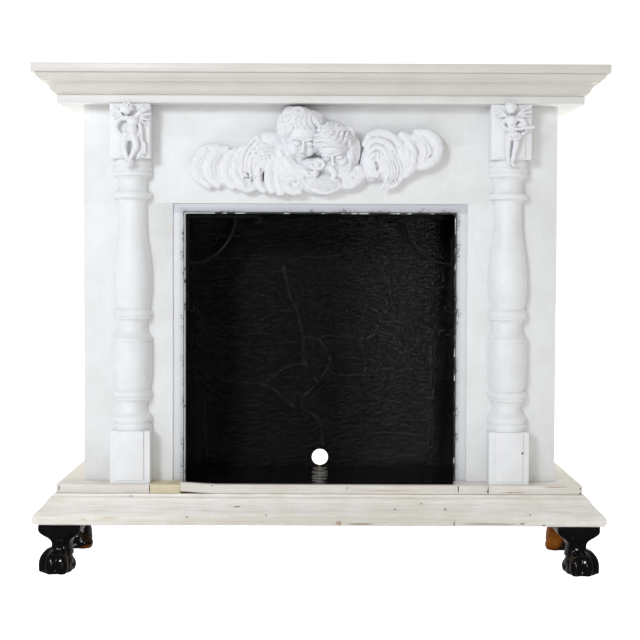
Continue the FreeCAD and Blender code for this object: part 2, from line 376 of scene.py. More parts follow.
@dataclass(frozen=True)
class BrushedPaint(Finish):
    """Water-based satin paint put on by brush: soft low gloss, faint streaks along the stroke,
    and patches a shade warmer or cooler where the coat is thinner.

    Attributes:
        name: Material name.
        body: Main colour.
        thin: Colour where the coat is thin.
        streak: Colour at the bottom of a brush line.
        grain: Which way the brush went.
        line: Width of a brush line in millimetres.
        patch: Size of a patch in millimetres.
        relief: Depth of the brush lines in millimetres.
        roughness: Surface roughness.
        streak_share: How far the streak colour shows in a brush line, 0 to 1.
        marks: Holes and stains.
    """

    name: str
    body: str
    thin: str
    streak: str
    grain: Grain
    line: float = 1.6
    patch: float = 55.0
    relief: float = 0.12
    roughness: float = 0.5
    streak_share: float = 0.35
    marks: tuple[Mark, ...] = ()

    def lay(self, tree: Tree, shader: Node, place: Socket) -> None:
        """Build patches, brush lines and marks."""
        patches = add_node(tree, "TexNoise", {"Scale": 1.0 / (self.patch * MM), "Detail": 3.0,
                                              "Roughness": 0.6}, {"Vector": place})
        thinness = add_node(tree, "MapRange", {"From Min": 0.38, "From Max": 0.66},
                            {"Value": patches.outputs["Fac"]})
        coat = add_node(tree, "Mix", {"data_type": "RGBA", 6: srgb(self.body), 7: srgb(self.thin)},
                        {0: thinness.outputs["Result"]})
        drawn = add_node(tree, "Mapping",
                         {"Scale": self.grain.stretch(self.line, self.line * 32.0)}, {"Vector": place})
        strokes = add_node(tree, "TexNoise", {"Scale": 1.0, "Detail": 4.0, "Roughness": 0.62},
                           {"Vector": drawn.outputs["Vector"]})
        furrow = add_node(tree, "MapRange", {"From Min": 0.42, "From Max": 0.72, "To Min": 0.0,
                                             "To Max": self.streak_share},
                          {"Value": strokes.outputs["Fac"]})
        streaked = add_node(tree, "Mix", {"data_type": "RGBA", 7: srgb(self.streak)},
                            {0: furrow.outputs["Result"], 6: coat.outputs[2]})
        colour, depth = lay_marks(tree, place, streaked.outputs[2], self.marks)
        height = strokes.outputs["Fac"]
        if depth is not None:
            sunk = add_node(tree, "Math", {"operation": "MULTIPLY_ADD", 1: -6.0},
                            {0: depth, 2: height})
            height = sunk.outputs[0]
        bump = add_node(tree, "Bump", {"Strength": 0.6, "Distance": self.relief * MM},
                        {"Height": height})
        tree.links.new(colour, shader.inputs["Base Color"])
        tree.links.new(bump.outputs["Normal"], shader.inputs["Normal"])
        shader.inputs["Roughness"].default_value = self.roughness


@dataclass(frozen=True)
class SlipPaint(Finish):
    """Bluish white paint on the thin frame round the opening: black from the firebox laps over its
    inner edge in a fuzzy line and specks, and white shows again where the arris was rubbed.

    Attributes:
        name: Material name.
        body: Main colour.
        thin: Colour where the coat is thin.
        speck: Colour of the specks.
        half_opening: Half width of the opening in millimetres.
        opening_top: Top of the opening in millimetres.
        band: Width of the speckled band in millimetres.
        top_shade: Colour of the top member, painted darker as shade below the frieze.
    """

    name: str
    body: str
    thin: str
    speck: str
    half_opening: float
    opening_top: float
    band: float = 14.0
    top_shade: str = "c6c8cd"

    def lay(self, tree: Tree, shader: Node, place: Socket) -> None:
        """Build the coat and the speckled band."""
        split = add_node(tree, "SeparateXYZ", links={0: place})
        side = add_node(tree, "Math", {"operation": "ABSOLUTE"}, {0: split.outputs["X"]})
        from_side = add_node(tree, "Math", {"operation": "SUBTRACT", 1: self.half_opening * MM},
                             {0: side.outputs[0]})
        from_top = add_node(tree, "Math", {"operation": "SUBTRACT", 1: self.opening_top * MM},
                            {0: split.outputs["Z"]})
        edge = add_node(tree, "Math", {"operation": "MAXIMUM"},
                        {0: from_side.outputs[0], 1: from_top.outputs[0]})
        near = add_node(tree, "MapRange", {"From Min": 0.0, "From Max": self.band * MM,
                                           "To Min": 0.54, "To Max": 0.20},
                        {"Value": edge.outputs[0]})
        grit = add_node(tree, "TexNoise", {"Scale": 1.0 / (2.2 * MM), "Detail": 3.0,
                                           "Roughness": 0.7}, {"Vector": place})
        clumps = add_node(tree, "TexNoise", {"Scale": 1.0 / (28.0 * MM), "Detail": 2.0},
                          {"Vector": place})
        grit_or_clump = add_node(tree, "Math", {"operation": "MULTIPLY_ADD", 1: 0.6},
                                 {0: clumps.outputs["Fac"], 2: grit.outputs["Fac"]})
        over = add_node(tree, "Math", {"operation": "ADD"},
                        {0: grit_or_clump.outputs[0], 1: near.outputs["Result"]})
        specks = add_node(tree, "MapRange", {"From Min": 1.27, "From Max": 1.38},
                          {"Value": over.outputs[0]})
        patches = add_node(tree, "TexNoise", {"Scale": 1.0 / (22.0 * MM), "Detail": 4.0},
                           {"Vector": place})
        coat = add_node(tree, "Mix", {"data_type": "RGBA", 6: srgb(self.body), 7: srgb(self.thin)},
                        {0: patches.outputs["Fac"]})
        # Painted shade: the member above the opening is coloured darker, as if in shade below the
        # frieze.
        over_top = add_node(tree, "MapRange", {"From Min": 0.0, "From Max": 2.0 * MM,
                                               "To Max": 0.85}, {"Value": from_top.outputs[0]})
        shaded = add_node(tree, "Mix", {"data_type": "RGBA", 7: srgb(self.top_shade)},
                          {0: over_top.outputs["Result"], 6: coat.outputs[2]})
        specked = add_node(tree, "Mix", {"data_type": "RGBA", 7: srgb(self.speck)},
                           {0: specks.outputs["Result"], 6: shaded.outputs[2]})
        wander = add_node(tree, "Math", {"operation": "MULTIPLY_ADD", 1: 2.6 * MM, 2: -1.3 * MM},
                          {0: grit.outputs["Fac"]})
        ragged = add_node(tree, "Math", {"operation": "ADD"},
                          {0: edge.outputs[0], 1: wander.outputs[0]})
        haze = add_node(tree, "MapRange", {"From Min": 2.5 * MM, "From Max": 13.0 * MM,
                                           "To Min": 0.42, "To Max": 0.0},
                        {"Value": ragged.outputs[0]})
        hazed = add_node(tree, "Mix", {"data_type": "RGBA", 7: srgb("7e828a")},
                         {0: haze.outputs["Result"], 6: specked.outputs[2]})
        band = add_node(tree, "MapRange", {"From Min": 2.2 * MM, "From Max": 4.0 * MM,
                                           "To Min": 0.92, "To Max": 0.0},
                        {"Value": ragged.outputs[0]})
        sooty = add_node(tree, "Mix", {"data_type": "RGBA", 7: srgb(self.speck)},
                         {0: band.outputs["Result"], 6: hazed.outputs[2]})
        arris = add_node(tree, "MapRange", {"From Min": 1.1 * MM, "From Max": 1.5 * MM,
                                            "To Min": 1.0, "To Max": 0.0},
                         {"Value": edge.outputs[0]})
        left_end = add_node(tree, "MapRange", {"From Min": -225.0 * MM, "From Max": -170.0 * MM,
                                               "To Min": 0.14, "To Max": -0.07},
                            {"Value": split.outputs["X"]})
        handled = add_node(tree, "Math", {"operation": "ADD"},
                           {0: patches.outputs["Fac"], 1: left_end.outputs["Result"]})
        rubbed = add_node(tree, "MapRange", {"From Min": 0.47, "From Max": 0.53},
                          {"Value": handled.outputs[0]})
        knocked = add_node(tree, "Math", {"operation": "MULTIPLY"},
                           {0: arris.outputs["Result"], 1: rubbed.outputs["Result"]})
        worn = add_node(tree, "Mix", {"data_type": "RGBA", 7: srgb("e9ebee")},
                        {0: knocked.outputs[0], 6: sooty.outputs[2]})
        inside = add_node(tree, "MapRange", {"From Min": -0.02 * MM, "From Max": 0.02 * MM,
                                             "To Min": 1.0, "To Max": 0.0},
                          {"Value": edge.outputs[0]})
        blackened = add_node(tree, "Mix", {"data_type": "RGBA", 7: srgb("121111")},
                             {0: inside.outputs["Result"], 6: worn.outputs[2]})
        bump = add_node(tree, "Bump", {"Strength": 0.5, "Distance": 0.15 * MM},
                        {"Height": grit.outputs["Fac"]})
        tree.links.new(blackened.outputs[2], shader.inputs["Base Color"])
        tree.links.new(bump.outputs["Normal"], shader.inputs["Normal"])
        shader.inputs["Roughness"].default_value = 0.45


@dataclass(frozen=True)
class PaintedPlaster(Finish):
    """Cast ornament under several coats of chalky white paint: matt, with painted shade a little greyer
    and warmer in the hollows and darker still in the deepest.

    Attributes:
        name: Material name.
        body: Colour on the open surface.
        hollow_shade: Colour of the painted shade in the hollows.
        deep: Colour of the painted shade at the bottom of the deepest hollows.
        grit: Size of the paint's orange peel in millimetres.
    """

    name: str
    body: str
    hollow_shade: str
    deep: str
    grit: float = 1.5

    def lay(self, tree: Tree, shader: Node, place: Socket) -> None:
        """Build the painted shade in the hollows from how sunk each point is, and a fine orange peel."""
        # Painted shade: hollows coloured greyer and warmer, the deepest points darker still.
        depth = add_node(tree, "Attribute", {"attribute_name": "hollow_shade"})
        shade_share = add_node(tree, "MapRange", {"From Min": 0.05, "From Max": 0.75, "To Max": 0.9},
                          {"Value": depth.outputs["Fac"]})
        coat = add_node(tree, "Mix", {"data_type": "RGBA", 6: srgb(self.body),
                                      7: srgb(self.hollow_shade)}, {0: shade_share.outputs["Result"]})
        deep_shade_share = add_node(tree, "MapRange", {"From Min": 0.88, "From Max": 1.0, "To Max": 0.8},
                       {"Value": depth.outputs["Fac"]})
        deep_shaded = add_node(tree, "Mix", {"data_type": "RGBA", 7: srgb(self.deep)},
                          {0: deep_shade_share.outputs["Result"], 6: coat.outputs[2]})
        peel = add_node(tree, "TexNoise", {"Scale": 1.0 / (self.grit * MM), "Detail": 3.0},
                        {"Vector": place})
        bump = add_node(tree, "Bump", {"Strength": 0.5, "Distance": 0.18 * MM},
                        {"Height": peel.outputs["Fac"]})
        tree.links.new(deep_shaded.outputs[2], shader.inputs["Base Color"])
        tree.links.new(bump.outputs["Normal"], shader.inputs["Normal"])
        shader.inputs["Roughness"].default_value = 0.62


@dataclass(frozen=True)
class GlossBlack(Finish):
    """Black lacquer on carved wood or board: a hard bright gloss with slightly wavy reflections,
    rubbed through to orange-brown wood where marks say.

    Attributes:
        name: Material name.
        body: Colour of the lacquer.
        roughness: Surface roughness.
        wave: Size of the waves in millimetres.
        relief: Depth of the waves in millimetres.
        marks: Bare places.
        run: How many times longer the waves run along x than they are wide.
    """

    name: str
    body: str
    roughness: float
    wave: float
    relief: float
    marks: tuple[Mark, ...] = ()
    run: float = 1.0

    def lay(self, tree: Tree, shader: Node, place: Socket) -> None:
        """Build the lacquer's waves and bare places."""
        drawn = add_node(tree, "Mapping", {"Scale": (1.0 / self.run, 1.0, 1.0)},
                         {"Vector": place})
        waves = add_node(tree, "TexNoise", {"Scale": 1.0 / (self.wave * MM), "Detail": 2.0},
                         {"Vector": drawn.outputs["Vector"]})
        tint = add_node(tree, "Mix", {"data_type": "RGBA", 6: srgb(self.body),
                                      7: srgb("0b0807")}, {0: waves.outputs["Fac"]})
        colour, _ = lay_marks(tree, place, tint.outputs[2], self.marks)
        bump = add_node(tree, "Bump", {"Strength": 0.5, "Distance": self.relief * MM},
                        {"Height": waves.outputs["Fac"]})
        tree.links.new(colour, shader.inputs["Base Color"])
        tree.links.new(bump.outputs["Normal"], shader.inputs["Normal"])
        shader.inputs["Roughness"].default_value = self.roughness
        shader.inputs["IOR"].default_value = 1.5


@dataclass(frozen=True)
class BareWood(Finish):
    """Unpainted softwood: pale brown with darker growth lines along the grain, matt.

    Attributes:
        name: Material name.
        early: Colour of the pale growth.
        late: Colour of the dark lines.
        grain: Which way the grain runs.
        ring: Distance between growth lines in millimetres.
    """

    name: str
    early: str
    late: str
    grain: Grain
    ring: float = 3.5

    def lay(self, tree: Tree, shader: Node, place: Socket) -> None:
        """Build growth lines and a faint bump along them."""
        drawn = add_node(tree, "Mapping",
                         {"Scale": self.grain.stretch(self.ring, self.ring * 22.0)}, {"Vector": place})
        rings = add_node(tree, "TexNoise", {"Scale": 1.0, "Detail": 5.0, "Distortion": 0.8},
                         {"Vector": drawn.outputs["Vector"]})
        line = add_node(tree, "MapRange", {"From Min": 0.4, "From Max": 0.68},
                        {"Value": rings.outputs["Fac"]})
        wood = add_node(tree, "Mix", {"data_type": "RGBA", 6: srgb(self.early), 7: srgb(self.late)},
                        {0: line.outputs["Result"]})
        bump = add_node(tree, "Bump", {"Strength": 0.5, "Distance": 0.2 * MM},
                        {"Height": rings.outputs["Fac"]})
        tree.links.new(wood.outputs[2], shader.inputs["Base Color"])
        tree.links.new(bump.outputs["Normal"], shader.inputs["Normal"])
        shader.inputs["Roughness"].default_value = 0.72


@dataclass(frozen=True)
class CoatedMetal(Finish):
    """Small steel part: black japanned or bright zinc, with a fine mottle in its gloss.

    Attributes:
        name: Material name.
        body: Colour.
        dull: Colour of the mottle.
        metallic: Share of metal.
        roughness: Surface roughness.
    """

    name: str
    body: str
    dull: str
    metallic: float
    roughness: float

    def lay(self, tree: Tree, shader: Node, place: Socket) -> None:
        """Build the mottle and a faint hammered bump."""
        mottle = add_node(tree, "TexNoise", {"Scale": 1.0 / (2.5 * MM), "Detail": 3.0},
                          {"Vector": place})
        colour = add_node(tree, "Mix", {"data_type": "RGBA", 6: srgb(self.body),
                                        7: srgb(self.dull)}, {0: mottle.outputs["Fac"]})
        bump = add_node(tree, "Bump", {"Strength": 0.4, "Distance": 0.08 * MM},
                        {"Height": mottle.outputs["Fac"]})
        tree.links.new(colour.outputs[2], shader.inputs["Base Color"])
        tree.links.new(bump.outputs["Normal"], shader.inputs["Normal"])
        shader.inputs["Metallic"].default_value = self.metallic
        shader.inputs["Roughness"].default_value = self.roughness


# ---------------------------------------------------------------- clay: sculpted ornament

WALL = -66.0
"""Face of the surround, in millimetres along y."""


def smooth_path(path: list[Spot], steps: int = 6) -> np.ndarray:
    """Points along a smooth curve through given spots.

    Args:
        path: The spots, in any number of dimensions.
        steps: Points from one spot to the next.

    Returns:
        The points, one row each.
    """
    spots = np.array(path, float)
    if len(spots) < 3:
        return spots
    ends = np.vstack([2 * spots[0] - spots[1], spots, 2 * spots[-1] - spots[-2]])
    rows = []
    for i in range(1, len(ends) - 2):
        before, start, end, after = ends[i - 1:i + 3]
        for t in np.linspace(0.0, 1.0, steps, endpoint=False):
            rows.append(0.5 * (2 * start + (end - before) * t
                               + (2 * before - 5 * start + 4 * end - after) * t ** 2
                               + (3 * start - before - 3 * end + after) * t ** 3))
    rows.append(ends[-2])
    return np.array(rows)


def distance_to_path(points: np.ndarray, path: np.ndarray) -> tuple[np.ndarray, np.ndarray]:
    """Distance of each point from a line of points.

    Args:
        points: The points, one row each.
        path: The line, one row per corner, in as many dimensions.

    Returns:
        Distances, and how far along the line the nearest place is, from 0 to 1.
    """
    best = np.full(len(points), np.inf)
    along = np.zeros(len(points))
    total = max(len(path) - 1, 1)
    for i in range(len(path) - 1):
        step = path[i + 1] - path[i]
        share = np.clip((points - path[i]) @ step / max(step @ step, 1e-9), 0.0, 1.0)
        gap = np.linalg.norm(points - path[i] - share[:, None] * step, axis=1)
        closer = gap < best
        best[closer] = gap[closer]
        along[closer] = (i + share[closer]) / total
    return best, along


@dataclass
class Clay:
    """Lumps and ropes of clay that are pressed together, welded into one skin and then carved.

    Attributes:
        name: The finished piece's name.
    """

    name: str
    lumps: list[Piece] = field(default_factory=list)

    def ball(self, centre: Point, radii: Point, turn: Point = (0.0, 0.0, 0.0)) -> None:
        """Press on a ball of clay.

        Args:
            centre: Its middle in millimetres.
            radii: Its half sizes in millimetres.
            turn: How it is turned about x, y and z, in degrees.
        """
        deselect()
        bpy.ops.mesh.primitive_uv_sphere_add(
            segments=24, ring_count=14, radius=1.0, location=[c * MM for c in centre],
            rotation=[math.radians(a) for a in turn], scale=[r * MM for r in radii])
        self.lumps.append(newest("lump"))

    def rope(self, path: list[Point], radii: list[float], flat: float = 1.0) -> None:
        """Lay on a rope of clay with rounded ends.

        Args:
            path: Points along its middle in millimetres.
            radii: Its radius at each point in millimetres.
            flat: Its thickness towards the wall as a share of its width.
        """
        line = smooth_path(path, 5)
        width = np.interp(np.linspace(0.0, 1.0, len(line)), np.linspace(0.0, 1.0, len(radii)), radii)
        first = (line[0] - line[1]) / max(np.linalg.norm(line[0] - line[1]), 1e-9)
        last = (line[-1] - line[-2]) / max(np.linalg.norm(line[-1] - line[-2]), 1e-9)
        caps = ((0.62, 0.78), (0.9, 0.42), (0.99, 0.08))
        head = [(line[0] + first * width[0] * out, width[0] * share) for out, share in reversed(caps)]
        tail = [(line[-1] + last * width[-1] * out, width[-1] * share) for out, share in caps]
        rows = head + list(zip(line, width)) + tail
        curve = bpy.data.curves.new("rope", "CURVE")
        curve.dimensions = "3D"
        curve.bevel_depth = MM
        curve.bevel_resolution = 4
        curve.use_fill_caps = True
        spline = curve.splines.new("POLY")
        spline.points.add(len(rows) - 1)
        middle = float(np.mean([place[1] for place in line]))
        for point, (place, radius) in zip(spline.points, rows):
            point.co = (place[0] * MM, place[1] * MM, place[2] * MM, 1.0)
            point.radius = radius
        made = bpy.data.objects.new("rope", curve)
        bpy.context.scene.collection.objects.link(made)
        pick(made)
        bpy.ops.object.convert(target="MESH")
        made = bpy.context.object
        if flat != 1.0:
            points = points_of(made)
            points[:, 1] = middle + (points[:, 1] - middle) * flat
            set_points(made, points)
        self.lumps.append(made)

    def weld(self, grain: float, passes: int) -> Piece:
        """Weld all lumps into one skin and rub it smooth.

        Args:
            grain: Size of the skin's faces in millimetres.
            passes: How many times the skin is rubbed.

        Returns:
            The welded piece.
        """
        piece = join(self.name, self.lumps)
        modify(piece, "REMESH", mode="VOXEL", voxel_size=grain * MM, adaptivity=0.0)
        if passes:
            modify(piece, "SMOOTH", factor=0.5, iterations=passes)
        self.lumps = []
        return piece


def carve(piece: Piece, path: list[Spot], width: float, lift: float,
          taper: bool = True) -> None:
    """Draw a tool along the front of a piece, raising a ridge or cutting a groove.

    Args:
        piece: The mesh object.
        path: Spots (x, z) in millimetres that the tool passes, seen from the front.
        width: Half width of the stroke in millimetres.
        lift: Height of the ridge in millimetres, negative for a groove.
        taper: Whether the stroke fades towards both ends.
    """
    points = points_of(piece)
    line = smooth_path(path)
    low = line.min(axis=0) - width
    high = line.max(axis=0) + width
    flat = points[:, [0, 2]]
    near = np.all((flat > low) & (flat < high), axis=1)
    if not near.any():
        return
    normals = normals_of(piece)[near]
    gap, along = distance_to_path(flat[near], line)
    share = np.clip(1.0 - gap / width, 0.0, 1.0)
    share = share * share * (3.0 - 2.0 * share)
    if taper:
        share *= np.clip(np.minimum(along, 1.0 - along) * 6.0, 0.25, 1.0)
    facing = np.clip(-normals[:, 1] * 1.6, 0.0, 1.0)
    points[near] += normals * (share * facing * lift)[:, None]
    set_points(piece, points)


def find_hollows(piece: Piece, reach: int = 3, gain: float = 3.2) -> None:
    """Store how sunk each point of a piece is, for the painted shade in its hollows.

    Args:
        piece: The mesh object.
        reach: How many rings of neighbours the measure is spread over.
        gain: How quickly a dip counts as fully sunk.
    """
    points = points_of(piece)
    normals = normals_of(piece)
    edges = np.zeros(len(piece.data.edges) * 2, int)
    piece.data.edges.foreach_get("vertices", edges)
    a, b = edges.reshape(-1, 2).T
    count = np.maximum(np.bincount(np.concatenate([a, b]), minlength=len(points)), 1)

    def average(values: np.ndarray) -> np.ndarray:
        """Mean of each point's neighbours."""
        total = np.zeros_like(values)
        np.add.at(total, a, values[b])
        np.add.at(total, b, values[a])
        return total / (count[:, None] if values.ndim == 2 else count)

    spread = points.copy()
    for _ in range(reach):
        spread = average(spread)
    dip = np.einsum("ij,ij->i", spread - points, normals)
    for _ in range(2):
        dip = 0.5 * dip + 0.5 * average(dip)
    # How much painted shade each point gets.
    attribute = piece.data.attributes.new("hollow_shade", "FLOAT", "POINT")
    attribute.data.foreach_set("value", np.clip(dip * gain, 0.0, 1.0).astype(np.float32))


def place_at(piece: Piece, centre: Point, turn: Point, scale: float = 1.0) -> None:
    """Turn a piece made round the origin and set it at its place, all in its mesh.

    Args:
        piece: The mesh object.
        centre: Where its origin goes, in millimetres.
        turn: How it is turned about x, y and z, in degrees.
        scale: Its size as a share of the size it was made at.
    """
    deselect()
    pick(piece)
    piece.scale = (scale, scale, scale)
    piece.rotation_euler = [math.radians(angle) for angle in turn]
    piece.location = [c * MM for c in centre]
    bpy.ops.object.transform_apply(location=True, rotation=True, scale=True)


def knead(piece: Piece, size: float, depth: float) -> None:
    """Leave the slight unevenness of hand-pressed clay on a piece.

    Args:
        piece: The mesh object.
        size: Distance between dimples in millimetres.
        depth: Their depth in millimetres.
    """
    points = points_of(piece)
    x, y, z = points.T / size
    swell = (np.sin(2.1 * x + 1.7 * np.sin(1.3 * z + 0.4)) * np.sin(1.9 * z + 1.3 * np.sin(1.7 * x))
             + 0.6 * np.sin(3.7 * x + 2.9 * z + 2.0 * y + 0.9))
    set_points(piece, points + normals_of(piece) * (0.5 * depth * swell)[:, None])


def press_on_wall(piece: Piece, wall: float = WALL) -> None:
    """Flatten whatever would go through the wall against its face."""
    points = points_of(piece)
    points[:, 1] = np.minimum(points[:, 1], wall + 0.2)
    set_points(piece, points)


@dataclass
class CherubHead:
    """A winged child's head with a calm, plain face and curled hair, made facing -y.

    Attributes:
        name: The piece's name.
        centre: Middle of the head in millimetres.
        turn: Turn about x (nod), y (lean) and z (look aside), in degrees.
        scale: Size as a share of a head 68 mm wide.
        curls: Curls as (angle round the face, height up the head, size, handedness).
        locks: Wavy locks as (turn, height, distance above the cap) along each one.
        combed: Which way the strands run.
        comb: Depth of the strands in millimetres.
        slim: How much narrower the face is made, as a share.
    """

    name: str
    centre: Point
    turn: Point
    scale: float
    curls: tuple[tuple[float, float, float, int], ...]
    locks: tuple[tuple[Point, ...], ...] = ()
    combed: Grain = Grain.UP
    comb: float = 0.6
    slim: float = 0.13

    def face(self) -> Piece:
        """Model the skull, cheeks, nose, lips, lids and ears.

        Returns:
            The face, round the origin.
        """
        clay = Clay("face")
        clay.ball((0, 4, 8), (32, 33, 33))
        clay.ball((0, -8, -16), (25.5, 23, 23))
        clay.ball((0, -12, 13), (26, 20.5, 20))
        clay.ball((0, -24.5, -33.5), (8.5, 7.5, 6.5))
        clay.ball((0, -18, -22), (19, 12, 13))
        clay.ball((0, -2, -36), (17, 17, 14))
        for side in (-1, 1):
            clay.ball((side * 14, -21, -15.5), (12, 11.5, 11.5))
            clay.ball((side * 11.6, -27.2, -2.2), (7.6, 5.6, 5.2))
            clay.rope([(side * 4, -30.4, 4.5), (side * 12, -30.6, 7), (side * 20, -24.6, 3.6)],
                      [1.8, 2.2, 1.3])
            clay.ball((side * 3.6, -33.4, -13.2), (2.5, 2.8, 2.2))
            clay.ball((side * 31, 0, -8), (4.5, 6.5, 9))
        clay.rope([(0, -30.5, 3), (0, -33.5, -4), (0, -35.6, -11.6)], [2.4, 2.7, 3.5])
        clay.rope([(-7.6, -30.4, -22.6), (-3, -33.4, -21.2), (0, -33.4, -21.9), (3, -33.4, -21.2),
                   (7.6, -30.4, -22.6)], [1.3, 2.3, 2.1, 2.3, 1.3])
        clay.ball((0, -31.8, -26.2), (5.6, 3.6, 2.7))
        piece = clay.weld(0.9, 3)
        for side in (-1, 1):
            carve(piece, [(side * 5, -3.4), (side * 11.6, -6.6), (side * 18.6, -3.2)], 1.6, -1.2)
            carve(piece, [(side * 4.6, 1.4), (side * 11.6, 4.6), (side * 18.6, 1.6)], 2.2, -0.6)
            carve(piece, [(side * 6.8, -13.0), (side * 7.4, -16.6)], 1.6, -0.8)
            carve(piece, [(side * 2.0, -15.8), (side * 3.4, -16.4)], 1.3, -1.6, False)
        carve(piece, [(-8.6, -23.8), (-4, -23.9), (0, -24.4), (4, -23.9), (8.6, -23.8)], 1.4, -1.7)
        carve(piece, [(-5, -30.2), (0, -30.8), (5, -30.2)], 2.2, -1.1)
        carve(piece, [(0, -17.2), (0, -20.4)], 1.5, -0.8, False)
        points = points_of(piece)
        points[:, 0] *= 1.0 - self.slim * smooth_step(14.0, -8.0, points[:, 2])
        set_points(piece, points)
        return piece

    def on_cap(self, turn: float, height: float, proud: float) -> Point:
        """A place on the cap of hair.

        Args:
            turn: Angle round the head from the face, in degrees.
            height: Angle up the head, in degrees.
            proud: Distance above the cap in millimetres.

        Returns:
            The place, in the head's own space.
        """
        a, b = math.radians(turn), math.radians(height)
        out = 34.0 + proud
        return (out * math.sin(a) * math.cos(b), 5.0 - out * math.cos(a) * math.cos(b),
                13.0 + (out - 2.0) * math.sin(b))

    def hair(self) -> Piece:
        """Model the hair as a cap under curls and wavy locks.

        Returns:
            The hair, round the origin.
        """
        clay = Clay("hair")
        clay.ball((0, 5, 13), (33.5, 33, 32))
        for side in (-1, 1):
            clay.ball((side * 27, 6, -4), (10, 17, 22))
        for angle, height, size, hand in self.curls:
            middle = Vector(self.on_cap(angle, height, 0.0))
            normal = (middle - Vector((0, 5, 10))).normalized()
            across = normal.cross(Vector((0, 0, 1))).normalized()
            up = across.cross(normal).normalized()
            path = []
            for step in range(12):
                share = step / 11
                bend = hand * share * 2.4 * math.pi + math.radians(angle * 2.0)
                radius = size * (1.0 - 0.72 * share)
                path.append(tuple(middle + across * radius * math.cos(bend)
                                  + up * radius * 0.8 * math.sin(bend) + normal * (3.2 * share - 0.6)))
            clay.rope(path, [0.34 * size, 0.5 * size, 0.34 * size])
        for lock in self.locks:
            wave = [self.on_cap(*spot) for spot in lock]
            clay.rope(wave, [3.0, 5.0, 4.4, 2.6])
        piece = clay.weld(0.9, 1)
        points = points_of(piece)
        x, y, z = points.T
        level = np.degrees(np.arctan2(z - 13.0, np.hypot(x, y - 5.0)))
        turn = np.degrees(np.arctan2(x, 5.0 - y))
        if self.combed is Grain.UP:
            strand = (turn + 7.0 * np.sin(np.radians(level * 5.0))) / 7.5
        else:
            strand = (level + 5.0 * np.sin(np.radians(turn * 5.0))) / 6.0
        points += normals_of(piece) * (self.comb * np.sin(2.0 * math.pi * strand))[:, None]
        set_points(piece, points)
        return piece

    def build(self, paint: Finish) -> None:
        """Model the head, set it in place and paint it.

        Args:
            paint: The ornament's paint.
        """
        face = self.face()
        hair = self.hair()
        points = points_of(hair)
        front = (points[:, 1] < -8) & (points[:, 2] < 20)
        inside = front & (np.abs(points[:, 0]) < 19)
        points[inside, 1] = np.maximum(points[inside, 1], -4)
        set_points(hair, points)
        find_hollows(face, gain=1.4)
        find_hollows(hair, gain=1.5)
        head = join(self.name, [face, hair])
        place_at(head, self.centre, self.turn, self.scale)
        press_on_wall(head)
        paint.dress(head)
        seat(head, ["cherub_applique"], angle=180.0)


@dataclass
class Feather:
    """One lobe of a wing: a crescent of clay seen from the front.

    Attributes:
        path: Spots (x, z) along its middle, in millimetres.
        radii: Half widths along it, in millimetres.
        lift: How far its middle stands off the wall, in millimetres.
        flat: Thickness as a share of width.
    """

    path: list[Spot]
    radii: list[float]
    lift: float
    flat: float = 0.8

    def beside(self, share: float) -> list[Spot]:
        """A line that runs beside the lobe's middle.

        Args:
            share: How far beside it, as a share of the lobe's half width.

        Returns:
            Spots (x, z) in millimetres.
        """
        line = np.array(self.path)
        along = np.gradient(line, axis=0)
        along /= np.linalg.norm(along, axis=1)[:, None]
        aside = np.stack([-along[:, 1], along[:, 0]], axis=1)
        wide = np.interp(np.linspace(0, 1, len(line)), np.linspace(0, 1, len(self.radii)), self.radii)
        return [tuple(spot) for spot in line + aside * (wide * share)[:, None]]


@dataclass
class Wing:
    """A wing of overlapping lobes, welded and carved.

    Attributes:
        name: The piece's name.
        feathers: Its lobes, outermost first.
        lumps: Balls under the lobes as (x, z, lift, half width, half height, half thickness).
        grooves: Carved lines as (path, half width, lift).
        grain: Size of the skin's faces in millimetres.
        passes: How often the welded skin is smoothed.
    """

    name: str
    feathers: list[Feather]
    lumps: list[tuple[float, float, float, float, float, float]]
    grooves: list[tuple[list[Spot], float, float]]
    grain: float = 1.0
    passes: int = 3

    def build(self, paint: Finish) -> None:
        """Lay the lobes, weld, carve and paint.

        Args:
            paint: The ornament's paint.
        """
        clay = Clay(self.name)
        for x, z, lift, wide, high, thick in self.lumps:
            clay.ball((x, WALL - lift, z), (wide, thick, high))
        for feather in self.feathers:
            path = [(x, WALL - feather.lift, z) for x, z in feather.path]
            clay.rope(path, feather.radii, feather.flat)
        piece = clay.weld(self.grain, self.passes)
        for feather in self.feathers:
            if max(feather.radii) > 7.0:
                for share in (-0.45, -0.1, 0.3):
                    carve(piece, feather.beside(share), 1.8, -0.75)
        for path, width, lift in self.grooves:
            carve(piece, path, width, lift)
        knead(piece, 9.0, 0.8)
        press_on_wall(piece)
        find_hollows(piece, gain=1.2)
        paint.dress(piece)
        seat(piece, ["cherub_applique"], angle=180.0)


